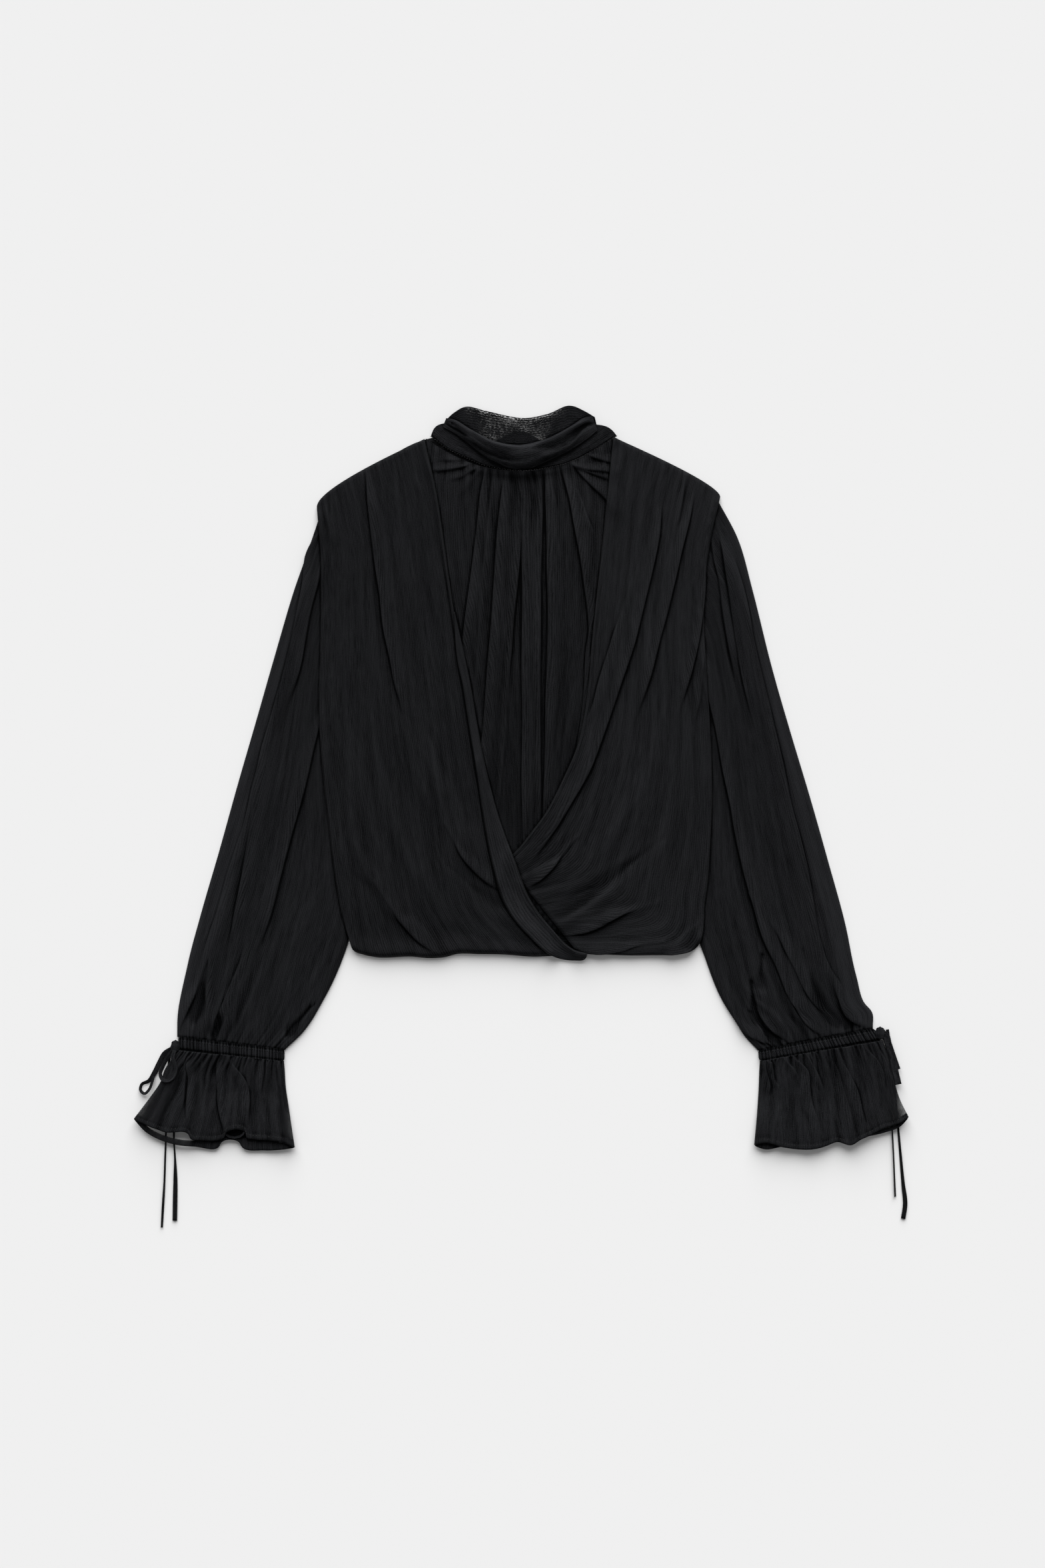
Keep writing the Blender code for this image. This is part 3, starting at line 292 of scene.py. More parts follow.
SLEEVE_LEFT_FOLDS = table(Fold, (
    (3.2, 1.8, 9, ((198, 248), (204, 227), (209, 196), (214, 160), (220, 122), (226, 91),
    (233, 58), (239, 33))),
    (2.8, 1.8, 6, ((191, 243), (194, 224), (200, 198), (204, 168), (210, 133), (215, 104),
    (218, 82))),
    (2.8, 12, 1.6, ((212, 222), (224, 174), (230, 139), (239, 102), (245, 77), (252, 46),
    (260, 12), (268, -26), (276, -57), (285, -96), (291, -130), (297, -163), (306, -188),
    (318, -207), (328, -227), (339, -240))),
    (4.0, 1.6, 13, ((182, 139), (186, 108), (191, 77), (197, 50), (204, 12), (211, -20),
    (217, -57), (226, -96), (235, -126), (245, -161), (256, -184), (272, -218), (287, -234),
    (306, -251))),
    (3.4, 1.8, 12, ((250, -142), (256, -151), (266, -170), (276, -190), (285, -209), (298, -228),
    (314, -244))),
    (3.0, 1.8, 7, ((211, -236), (226, -253), (241, -261), (256, -266))),
    (-4.0, 5.5, 5.5, ((232, -214), (234, -228), (238, -242), (243, -252))),
    (-3.8, 6, 6, ((241, -247), (248, -256), (257, -263), (266, -267))),
    (3.0, 1.8, 4, ((234, -216), (242, -238), (253, -251), (268, -263))),
    (3.4, 1.6, 7, ((268, -185), (271, -208), (279, -231), (288, -245), (300, -254), (313, -258))),
    (-4.0, 7, 8, ((288, -190), (296, -216), (306, -234), (320, -245), (345, -250))),
    (3.4, 1.6, 7, ((308, -190), (319, -218), (327, -236), (338, -244), (352, -248))),
    (-1.8, 7, 7, ((240, -192), (239, -205), (236, -216))),
    (2.0, 4, 5, ((235, -220), (246, -232), (256, -244), (264, -259))),
    (1.6, 12, 12, ((196, -28), (198, -75), (209, -122), (219, -162))),
    (1.2, 2, 2, ((262, -186), (269, -215), (276, -242), (280, -259))),
))
CASING_RIGHT = table(Section, (
    (0.00, -342.6, -260.5, -236.2, -273.2, 0, 1.6),
    (0.50, -342.6, -265.4, -236.2, -277.4, 0, 2.6),
    (1.00, -342.3, -270.3, -236.4, -281.7, 0, 1.6),
))
CASING_LEFT = table(Section, (
    (0.00, 353.2, -252.0, 237.2, -274.3, 0, 1.6),
    (0.50, 357.4, -256.2, 237.6, -278.0, 0, 2.6),
    (1.00, 361.0, -260.3, 238.3, -281.7, 0, 1.6),
))
CASING_GATHERS = (Gathers(16, 0.7, 1.0, 4.0),)

RUFFLE_RIGHT = table(Section, (
    (0.00, -341.7, -271.1, -236.8, -282.5, 0, 1.0),
    (0.20, -354.3, -288.3, -236.0, -292.5, 0.8, 1.4),
    (0.45, -360.3, -303.7, -235.0, -308.0, 2.0, 1.8),
    (0.70, -370.3, -318.3, -231.7, -328.0, 4.0, 2.2),
    (1.00, -386.3, -339.7, -225.7, -365.0, 6.0, 2.4),
))
RUFFLE_LEFT = table(Section, (
    (0.00, 361.3, -261.2, 239.0, -282.5, 0, 1.0),
    (0.20, 367.0, -278.0, 238.4, -293.0, -0.8, 1.4),
    (0.45, 373.0, -301.7, 237.7, -311.0, -2.0, 1.8),
    (0.72, 378.5, -320.0, 235.7, -337.0, -5.0, 2.2),
    (1.00, 387.0, -337.7, 232.3, -371.0, -8.0, 2.4),
))
RUFFLE_RIGHT_FOLDS = table(Fold, (
    (2.0, 3, 1.4, ((-336, -278), (-337, -296), (-338, -320), (-339, -335))),
    (2.8, 1.4, 8, ((-332, -274), (-333, -286), (-330, -296), (-331, -315), (-332, -335),
    (-332, -353))),
    (3.0, 1.4, 7, ((-301, -275), (-302, -288), (-301, -308), (-300, -323), (-297, -342),
    (-293, -359))),
    (3.0, 7, 1.4, ((-292, -280), (-288, -288), (-282, -296), (-277, -304), (-274, -315),
    (-274, -335), (-273, -356))),
    (1.8, 5, 1.4, ((-258, -284), (-259, -296), (-261, -310), (-262, -322))),
    (1.6, 3, 3, ((-318, -278), (-319, -302), (-317, -328), (-314, -355))),
    (1.6, 3, 3, ((-346, -278), (-350, -296), (-356, -318), (-361, -342))),
    (1.8, 4, 3, ((-248, -283), (-246, -302), (-246, -328), (-245, -355))),
))
RUFFLE_LEFT_FOLDS = table(Fold, (
    (1.8, 3, 1.4, ((241, -284), (244, -296), (247, -307), (246, -320))),
    (1.8, 3, 1.4, ((250, -291), (252, -302), (258, -311))),
    (1.6, 3, 1.4, ((265, -284), (272, -292), (278, -302))),
    (3.0, 6, 1.4, ((272, -279), (280, -287), (284, -292), (286, -308), (288, -323), (294, -342),
    (295, -355))),
    (2.0, 3, 1.4, ((284, -276), (290, -287), (295, -296), (299, -306), (303, -315))),
    (2.4, 5, 1.6, ((311, -282), (316, -292), (318, -302), (322, -318), (326, -332), (330, -355),
    (330, -363))),
    (3.2, 8, 1.4, ((320, -282), (328, -300), (334, -315), (338, -332), (343, -346), (348, -356))),
    (2.0, 4, 1.4, ((344, -271), (354, -282), (359, -291), (362, -307), (366, -322))),
    (1.8, 3, 1.4, ((358, -272), (364, -286), (370, -302), (374, -312))),
    (1.6, 4, 4, ((256, -288), (260, -315), (263, -342), (264, -366))),
))
RUFFLE_GATHERS = (Gathers(40, 2.4, 0.0, 0.34), Gathers(17, 2.4, 0.0, 0.8))
# The hems of each ruffle's upper and lower wall, from its outer to its inner side.
HEM_RIGHT_OVER = ((-386.3, -339.7), (-372.3, -346.3), (-354.3, -353.0), (-331.7, -355.0),
                  (-329.0, -359.7), (-321.0, -360.8), (-301.0, -360.8), (-297.5, -359.5),
                  (-294.0, -353.5), (-288.0, -350.5), (-280.0, -350.5), (-275.0, -353.5),
                  (-273.5, -358.5), (-268.0, -360.0), (-253.0, -361.0), (-239.0, -362.5),
                  (-225.7, -368.3))
HEM_RIGHT_UNDER = ((-386.3, -340.3), (-373.7, -353.7), (-362.3, -360.3), (-347.7, -365.0),
                   (-326.3, -367.7), (-301.3, -367.7), (-299.3, -364.0), (-281.0, -364.0),
                   (-279.0, -367.7), (-255.7, -371.7), (-241.0, -371.0), (-225.7, -369.0))
HEM_LEFT_OVER = ((387.0, -337.7), (376.3, -344.3), (360.3, -349.7), (348.3, -356.3), (339.0, -360.3),
                 (329.7, -365.7), (315.0, -363.0), (304.3, -367.0), (293.7, -369.7), (279.0, -370.3),
                 (263.0, -368.3), (243.0, -363.7), (233.0, -365.7))
HEM_LEFT_UNDER = ((387.0, -339.0), (377.7, -348.3), (365.7, -353.0), (348.3, -357.0), (329.7, -359.0),
                  (304.3, -363.0), (279.0, -367.0), (263.0, -367.7), (243.0, -370.3), (233.0, -367.0))
# The painted shade inside the right ruffle's rolled fold, as x, y, half its width and half its height.
FOLD_MOUTH_SHADES = ((-284.5, -354.8, 10.0, 4.0),)
# The rolled fold's lower rim, as (x, y, z) points.
FOLD_RIM = ((-296.6, -351.0, 8.4), (-294.4, -355.2, 8.0), (-291.0, -357.6, 7.8), (-286.0, -358.6, 7.6),
            (-280.5, -357.4, 7.8), (-277.2, -355.0, 8.0), (-275.8, -352.2, 8.4))
CASING_ROWS = (0.14, 0.86)   # the places of the casing's two rows of stitches, across it
# What each sleeve is made from. Its outer strip is one layer of cloth: how much paler it is, and its share
# of the width. Its rolled folds' insides get painted shade, and sheer_sides says how clear its ruffle's
# outer and inner side are.
Side = namedtuple("Side", "sleeve sleeve_folds casing ruffle ruffle_folds over under mouths sheer_sides"
                          " outer_strip")
SIDES = {
    "right": Side(SLEEVE_RIGHT, SLEEVE_RIGHT_FOLDS, CASING_RIGHT, RUFFLE_RIGHT, RUFFLE_RIGHT_FOLDS,
                  HEM_RIGHT_OVER, HEM_RIGHT_UNDER, FOLD_MOUTH_SHADES, (0.52, 0.3), (0.7, 0.12)),
    "left": Side(SLEEVE_LEFT, SLEEVE_LEFT_FOLDS, CASING_LEFT, RUFFLE_LEFT, RUFFLE_LEFT_FOLDS,
                 HEM_LEFT_OVER, HEM_LEFT_UNDER, (), (0.75, 0.0), (0.8, 0.10)),
}
TIE_LIFT = 3.5           # mm, how far the ruffle's outer side is held off the floor by the ties
HEM_STAND = 5.0          # mm, how far the ruffle's hem stands off it
TIE_SIDE = (0.30, 0.45)  # the share of its width where that lift starts to fall, and where it ends

# A section of the collar's front: the neck seam, the roll's lower edge, the mouth's edge, its height.
CollarSection = namedtuple("CollarSection", "t seam_x seam_y low_x low_y mouth_x mouth_y height")
COLLAR = table(CollarSection, (
    (0.00, -90.0, 341.5, -78.0, 351.0, -74.5, 359.5, 6.6),
    (0.12, -74.5, 330.0, -66.0, 344.5, -64.5, 357.0, 9.8),
    (0.25, -56.0, 320.8, -54.0, 335.5, -49.0, 347.5, 13.0),
    (0.40, -31.0, 311.0, -29.0, 317.7, -24.3, 335.5, 15.6),
    (0.52, -1.0, 306.6, -1.0, 307.7, -1.0, 332.3, 16.2),
    (0.65, 25.7, 309.6, 25.7, 316.3, 25.7, 338.5, 15.2),
    (0.78, 52.3, 317.0, 50.0, 328.3, 49.0, 350.5, 13.4),
    (0.90, 76.0, 329.5, 64.5, 338.0, 62.0, 359.0, 10.4),
    (1.00, 96.0, 342.0, 76.5, 347.5, 71.5, 361.5, 6.6),
))
# The roll's section: each point's place from the lower edge (0) to the mouth's edge (1), and its height
# from the stand (0) to the top of the roll (1).
ROLL_SECTION = ((0.16, 0.04), (0.02, 0.06), (-0.03, 0.18), (0.05, 0.38), (0.22, 0.64), (0.44, 0.88),
                (0.66, 1.0), (0.86, 0.92), (1.0, 0.60), (0.98, 0.22), (0.90, 0.0))
STAND_TOP = 5.0          # mm, the height of the stand's upper side under the roll
STAND_SEAM = 3.2         # mm, and at the neck seam
STAND_BULGE = (3.6, 0.06)     # mm, how far the stand's ends bulge out, and over what share of its length
# The roll's painted highlight on top: how much paler it is, where along its section, and how far it
# reaches.
ROLL_HIGHLIGHT = (1.2, 0.90, 0.08)
ROLL_FOLDS = table(Fold, (
    (-4.5, 5.0, 7.0, ((76, 356), (64, 352), (50, 343), (36, 335), (18, 330), (6, 327))),
    (-2.5, 7.0, 7.0, ((-52, 338), (-41, 328), (-14, 316), (2, 316))),
    (1.8, 4.0, 5.0, ((-64, 356), (-50, 350), (-37, 340), (-12, 332), (8, 331))),
    (1.6, 4.0, 4.0, ((-27, 319), (0, 312), (20, 314), (40, 322))),
    (1.4, 5.0, 3.0, ((-68, 348), (-56, 340), (-40, 330), (-20, 324))),
    (1.6, 3.0, 5.0, ((60, 344), (48, 331), (30, 322), (14, 319))),
    (-1.4, 3.0, 3.0, ((-72, 352), (-62, 345), (-52, 333))),
))

COLLAR_BACK = table(Section, (
    (0.00, -77.0, 346.5, -76.0, 357.0, 0, 0.8),
    (0.12, -66.0, 345.0, -66.5, 365.5, 0, 2.0),
    (0.25, -52.0, 341.0, -54.0, 371.3, 0, 2.4),
    (0.40, -25.0, 335.0, -32.0, 366.5, 0, 1.2),
    (0.52, 0.0, 333.5, -1.0, 360.3, 0, 0.8),
    (0.66, 25.0, 336.0, 26.0, 364.0, 0, 1.2),
    (0.80, 50.0, 342.5, 48.0, 372.3, 0, 2.4),
    (0.92, 66.0, 348.0, 63.5, 367.0, 0, 2.0),
    (1.00, 76.5, 350.0, 74.0, 361.0, 0, 0.8),
))
TIES = {
    "tie_right_a": ((-350.5, -270.0), (-352.0, -285.0), (-353.5, -305.0), (-354.5, -330.0),
                    (-355.0, -362.0),
                    (-355.7, -383.0), (-356.3, -402.3), (-358.0, -431.0), (-359.0, -449.0)),
    "tie_right_b": ((-346.0, -270.0), (-345.5, -284.0), (-346.0, -305.0), (-346.5, -335.0),
                    (-346.7, -364.0),
                    (-345.7, -381.0), (-345.4, -402.3), (-345.7, -423.0), (-346.0, -442.3)),
    "tie_left_a": ((362.5, -251.5), (364.5, -262.0), (367.0, -285.0), (369.0, -310.0), (370.5, -335.0),
                   (371.3, -350.0), (373.0, -386.0), (374.3, -418.3)),
    "tie_left_b": ((366.5, -251.0), (368.5, -265.0), (371.5, -290.0), (374.0, -315.0), (376.0, -335.0),
                   (377.0, -347.0), (379.7, -377.7), (382.3, -405.7), (384.3, -426.3), (382.3, -440.3)),
}
TIE_HEIGHT = 1.3         # mm, the ties' middle line
KNOTS = {"knot_right": (-344.8, -267.8), "knot_left": (358.8, -254.5)}
KNOT_HEIGHT = 5.8        # mm, the knots' middle
LOOPS = {
    "loop_right_a": ((-352.6, -278.6), (-357.0, -287.0), (-359.7, -295.7), (-357.0, -300.5),
                     (-352.3, -301.5),
                     (-346.5, -298.0), (-344.0, -291.0), (-345.0, -284.0), (-347.0, -279.2)),
    "loop_right_b": ((-355.8, -275.0), (-360.5, -283.0), (-366.0, -294.0), (-372.0, -302.5),
                     (-379.0, -306.0),
                     (-380.2, -311.5), (-376.2, -315.0), (-371.4, -311.0), (-368.6, -304.0),
                     (-366.8, -297.5)),
    "loop_left_a": ((363.0, -255.5), (367.0, -265.5), (371.6, -278.5), (376.0, -291.0)),
    "loop_left_b": ((363.5, -258.0), (368.0, -270.0), (372.4, -287.0), (376.8, -305.5)),
}
# A tie's or loop's form: its width in mm and its twist in degrees, at even steps from the knot on.
Ribbon = namedtuple("Ribbon", "width twist")
TIE_FORMS = {
    "tie_right_a": Ribbon((3.0, 2.6, 2.6, 2.6, 2.6, 2.8, 2.8, 3.0, 2.2),
                          (40, 66, 72, 72, 70, 68, 64, 50, 40)),
    "tie_right_b": Ribbon((4.0, 4.0, 3.8, 3.2, 2.8, 3.0, 4.2, 4.6, 4.6), (15, 10, 5, 30, 66, 70, 30, 8, 4)),
    "tie_left_a": Ribbon((3.4, 3.0, 2.8, 2.8, 2.8, 2.8, 2.8, 3.0), (30, 56, 66, 68, 68, 66, 64, 60)),
    "tie_left_b": Ribbon((3.4, 3.0, 3.0, 3.0, 3.0, 3.0, 3.2, 3.4, 4.4, 4.6),
                         (-20, -50, -62, -62, -62, -60, -50, -30, -8, 0)),
}
TIE_THICK = 0.8          # mm
LOOP_FORMS = {
    "loop_right_a": Ribbon((4.2, 4.2, 4.0, 3.8, 3.8, 3.6, 3.8, 4.0, 4.0),
                           (10, 16, 24, 30, 34, 30, 24, 16, 10)),
    "loop_right_b": Ribbon((5.0, 5.4, 5.3, 5.2, 4.4, 3.4, 3.2, 3.2, 3.0),
                           (4, 4, 6, 10, 30, 40, 42, 42, 40)),
    "loop_left_a": Ribbon((7.0, 7.2, 7.0, 6.8, 6.8, 6.8), (3, 3, 4, 4, 3, 3)),
    "loop_left_b": Ribbon((6.4, 6.6, 6.6, 6.6, 6.6, 6.6), (-4, -4, -4, -4, -4, -4)),
}
LOOP_LIFT = {"loop_left_a": 1.3}     # mm, how far a loop that lies on its pair is lifted
FOLD_RIM_FORM = Ribbon((1.6, 2.2, 2.6, 2.6, 2.2, 1.6), (10, 10, 10, 10, 10, 10))
KNOT_FORM = (5.2, 7.0, 2.8)     # mm, half its width, length and height
KNOT_TURNS = 3           # how many wraps it shows
KNOT_REACH = 22          # mm, a loop's end nearer to the knot than this is tied into it

DARK = (0.0009, 0.0010, 0.0012)      # the ends of the cloth's colour; painted shade takes it darkest in a crease, painted highlight palest on a crest
LIGHT = (0.0180, 0.0184, 0.0202)
POCKET_SHADE = 0.11       # painted shade: how much darker a sleeve's deep pockets are, per mm of depth
CREST_AND_CREASE_SHADING = 0.15        # how much lighter it is on a crest and darker in a crease, as painted highlight and shade
CREASE_SHADE = 1.5        # painted shade: how much darker it is at the foot of a fold or of another piece's edge
STAND_CREASE_SHADE = 0.3          # how much darker that painted shade is on the collar's stand, at the neck seam
ROLLED_HEM = 0.945       # the share of the ruffle's length where its rolled hem is stitched
# Low ripples of the crinkled cloth: wavelength across the grain and height, both in mm.
RIPPLES = ((4.2, 0.05), (7.0, 0.10), (12.0, 0.22), (21.0, 0.45))

# How folds, gathers and ripples are shaped. Lengths are in mm, and shares are of the whole.
FOLD_STEP = 1.2          # the step between the points that a fold's line is read at
FOLD_MARGIN = 2.5        # how many times its reach away from its line a fold is still felt
FOLD_EARLY = 10.0        # how far before its line a fold starts to rise
FADE_IN = (45.0, 0.5)    # a fold is full after this way, or after this share of its length if that is less
FADE_OUT = (70.0, 0.35)  # and starts to fall this far before its end
OPENING = (90.0, 0.6)    # it is at its widest after this way
CLOSING = (60.0, 0.4)    # and gets narrower this far before its end
FOLD_UNEVEN = (0.16, 19.0, 2.1)    # the share, the length and the turn, from fold to fold, of its swells
LEAST_REACH = 1.3
STEEP = 2.5              # a fold with a shorter reach than this leans over its steep side
LEAN_HEIGHT = 3.5        # the height from which it leans in full
LEAN_PLACE = (0.6, 2.4)  # where beside its line it leans most, and over what width
GATHER_SHIFT = 0.33      # each gather is uneven in place, height, length, width and drift
GATHER_HEIGHTS = (0.5, 1.25)
GATHER_LENGTHS = (0.45, 1.3)
GATHER_WIDTHS = (0.26, 0.42)
GATHER_DRIFT = 0.8
SLOW_DRIFT = (1.3, 3.6)  # how far ripples drift, and over how many of their wavelengths
QUICK_DRIFT = (0.8, 1.9)
PATCH_WIDTH = 1.9        # ripples come and go in patches this many wavelengths wide
PATCH_BEND = (1.6, 4.0)  # which bend this far, over so many wavelengths
# A crest is read at two scales: the reach of the cloth round it, the height that counts in full, its share.
CREST_SCALES = ((3.0, 1.1, 0.75), (9.0, 2.6, 0.35))
CREST_SHARE = 0.45       # how much of that counts where it is a crest, as painted highlight, and not a crease, as painted shade
CREASE_FOOT = (0.3, 1.1)           # how far above the cloth a thing has to stand to shade it, and in full

# The cloth's material. Streaks have a width, a length and a detail.
WAVE_SCALE = 20          # the wave texture's own number of bands
LINES = (3.2, 2.2, 4.5)  # the crinkle's lines: spacing and length, in streaks, and waver
FINE_DETAIL = 2.0
SPECK = (0.5, 1.0, 1.0)
BROAD = (12.0, 6.0, 2.0)     # the width and length of broad streaks are in fine ones
FINE_TONE = 0.42
SPECK_TONE = 0.44
TONE_RANGE = (0.29, 0.69)
BUMP_DISTANCE = 0.0002   # m
BUMP_SHARE = 0.6
THREAD_SHARES = (0.7, 0.1, 0.2)    # what fine streaks, lines and broad streaks add to the sheer weave
CLOTH_SHADER = {"Roughness": 0.6, "Specular IOR Level": 0.02, "Sheen Weight": 0.01, "Sheen Roughness": 0.4}
TIE_DARK = (0.0035, 0.0036, 0.0038)
TIE_LIGHT = (0.0105, 0.0107, 0.0115)
THREAD_DARK = (0.0005, 0.0005, 0.0006)
THREAD_LIGHT = (0.0025, 0.0025, 0.0028)
PALE_DARK = (0.014, 0.014, 0.014)
PALE_LIGHT = (0.055, 0.055, 0.055)

# Panels. A blend has the v where it starts and the v that it takes.
HEM_BLEND = (0.9, 0.1)   # from a panel's straight end to its own hem
NARROW = 1.5             # how fast ripples die down where a panel narrows
GROOVE_START = (0.15, 0.2)
EDGE_TONE = (0.5, 2.2)   # how much paler a crossing edge is, and over how many mm
HEM_FLAT = 0.5           # the share of its folds that a hem's puff takes up

# Tubes, casings and ruffles.
MOUTH_BLEND = (0.25, 0.75)
SINK = 0.6               # mm, the most that an upper wall sinks in
POCKET_FOLD = -3.0       # mm, a trough deeper than this is a pocket
STRIP_BLEND = (0.04, 0.12)   # the softness of an outer strip's inner side and of its start
MOUTH_SHADE = 6.0         # painted shade: how much darker it is inside the rolled fold
CASING_PUFFS = 35
PUFF_ENDS = (0.45, 2.0)  # how much a casing's ends draw in, and over how many mm
PUFF_BULGE = 0.9         # mm, how far each puff bulges over both its edges
PUFF_HEIGHT = 1.9        # mm, and up
PUFF_FOOT = 0.6
PUFF_SLOW = (0.006, 5.3)     # how far puffs stray along the casing, and how many times on its way
PUFF_QUICK = (0.004, 11.7)
PUFF_UNEVEN = (0.85, 0.15, 8.1)    # their least and added height, and how many times it changes
PUFF_ROUND = 0.7
CASING_SEAM_SHADE = (1.5, 0.07)    # painted shade: how much darker a casing's upper seam is, and over what share of its width
ROW_GROOVE = (1.1, 0.07)     # mm, the depth of a row of stitches, and its share of the width
WAVE_COUNT = 8           # a ruffle's waves
WAVE_HEIGHT = 2.2        # mm
WAVE_WANDER = (0.06, 1.7)
WAVE_UNEVEN = (0.45, 2.3)
HEM_GROOVE = (0.7, 0.012)    # mm, the depth of the rolled hem's stitching, and its share of the length
HEM_ROW = 4.0            # mm, how far above the hem that row is
LEAST_CLEAR = 0.05       # how much light a ruffle lets through at the least
SIDE_CLEAR = (0.14, 0.10)    # the shares of its width where its outer and inner side are sheer
MOUTH_CLEAR = 2.6
HEM_DENSE = 0.95         # how much of that the doubled hem takes away

# Ties, knots and loops.
RIBBON_PROFILE = ((-1, 0), (-0.93, 0.5), (-0.72, 0.5), (0, 0.3), (0.72, 0.5), (0.93, 0.5),
                  (1, 0), (0.93, -0.5), (0.72, -0.5), (0, -0.3), (-0.72, -0.5), (-0.93, -0.5))
RIM_STEP = 0.7           # mm of cloth from each point of that profile to the next
FLOOR_GAP = 0.05         # mm
TIE_STEPS = 60
TIE_CLEAR = 0.45         # mm, how far a turned tie's lower edge is off the floor
KNOT_GRID = (15, 33)
KNOT_SLANT = 0.05
KNOT_WRAP = (0.88, 0.12)     # a knot's size between its wraps, and what a wrap adds
LOOP_START = 0.3         # the share of the way from its knot where a loop starts
LOOP_STEPS = 44
LOOP_SOFT = 4            # how many steps to both sides a loop's rise is softened over
LOOP_THICK = 0.9         # mm

# The collar.
STAND_REACH = 0.42       # how far under the roll the stand goes, as a share of the roll's width
STAND_FLAT = 3.0         # mm from the neck seam to where the stand's gathers are full
STAND_GATHERS = (Gathers(34, 0.3, 0.0, 0.9), Gathers(9, 0.4, 0.0, 1.4))
STAND_SEED = 31
ROLL_SEED = 32
BACK_SEED = 33
ROLL_SIZE = (22, 10)     # mm, the roll's width and height, along its section
ROLL_DEPTH = 5.0         # mm, the most that a fold lifts or sinks it
ROLL_SHADE = 0.3         # painted shade: how much darker it is at its lower edge
BACK_WIDTH = 22.0        # mm of cloth across the back half

# The stage.
SENSOR = 36.0            # mm
FLOOR = 9                # m, half the floor's side
FLOOR_DROP = 0.0005      # m, how far it is below the model's own
FLOOR_SHADER = {"Base Color": (0.84, 0.84, 0.84, 1), "Roughness": 0.9, "Specular IOR Level": 0.1}
LIGHT_POWER = 4.25
LIGHT_WIDTH = 60.0       # degrees
LIGHT_TILT = -55.0       # degrees, so that it comes from the side of the collar
WORLD_POWER = 0.26


# ---------------------------------------------------------------- curves and fields

def through(knots, values, at):
    """A smooth curve through values at the knots, read at each number in at."""
    knots = np.asarray(knots, float)
    values = np.asarray(values, float).reshape(len(knots), -1)
    at = np.clip(np.atleast_1d(at), knots[0], knots[-1])
    slopes = np.gradient(values, knots, axis=0)
    i = np.clip(np.searchsorted(knots, at, side="right") - 1, 0, len(knots) - 2)
    span = (knots[i + 1] - knots[i])[:, None]
    t = ((at - knots[i])[:, None]) / span
    near = (2 * t**3 - 3 * t**2 + 1) * values[i] + (t**3 - 2 * t**2 + t) * span * slopes[i]
    far = (3 * t**2 - 2 * t**3) * values[i + 1] + (t**3 - t**2) * span * slopes[i + 1]
    return near + far


def lengths(points):
    """How far along a line each of its points is."""
    points = np.asarray(points, float)
    return np.concatenate(([0], np.cumsum(np.linalg.norm(np.diff(points, axis=0), axis=1))))


def even_route(points, count):
    """Points spread evenly along a smooth curve through the given ones."""
    knots = lengths(points)
    return through(knots, points, np.linspace(0, knots[-1], count))


def table_curve(points, u):
    """The points at the shares u of a line's length."""
    knots = lengths(points)
    return through(knots / knots[-1], points, u)


def columns(sections, *names):
    """The named columns of a table, as one array with a row for each section."""
    return np.array([[getattr(section, name) for name in names] for section in sections], float)


def smooth(t):
    """0 below 0, 1 above 1, with a soft start and end."""
    t = np.clip(t, 0, 1)
    return t * t * (3 - 2 * t)


def rounded(t):
    """0 at 0, rising in a quarter round to 1 at 1."""
    return np.sqrt(1 - (1 - np.clip(t, 0, 1)) ** 2)


def slack(height, limit):
    """How far rise and folds lift the cloth, softly held under a limit."""
    return limit * np.tanh(height / limit)


def steps(count, edge=0.4):
    """Numbers from 0 to 1, closer together at both ends, where cloth turns over."""
    t = np.linspace(0, 1, count + 1)
    return (1 - edge) * t + edge * (0.5 - 0.5 * np.cos(pi * t))


def section_lines(sections, v, u, skew=1.0):
    """The plan (x, y) of every grid point (v, u) of a panel, and each section's length."""
    knots = columns(sections, "v")[:, 0]
    start = through(knots, columns(sections, "x0", "y0"), v)
    end = through(knots, columns(sections, "x1", "y1"), v)
    bow = through(knots, columns(sections, "bow"), v)
    along = end - start
    length = np.linalg.norm(along, axis=1, keepdims=True)
    aside = np.stack([along[:, 1], -along[:, 0]], axis=1) / length
    warped = u**skew
    arch = 4 * warped * (1 - warped)
    plan = start[:, None] + along[:, None] * u[None, :, None] + (aside * bow)[:, None] * arch[None, :, None]
    return plan, length[:, 0]


def ease(distance, longest, share, size):
    """0 at no distance, softly 1 after the longest one, or after a share of the size if that is less."""
    return smooth(distance / min(longest, share * size))


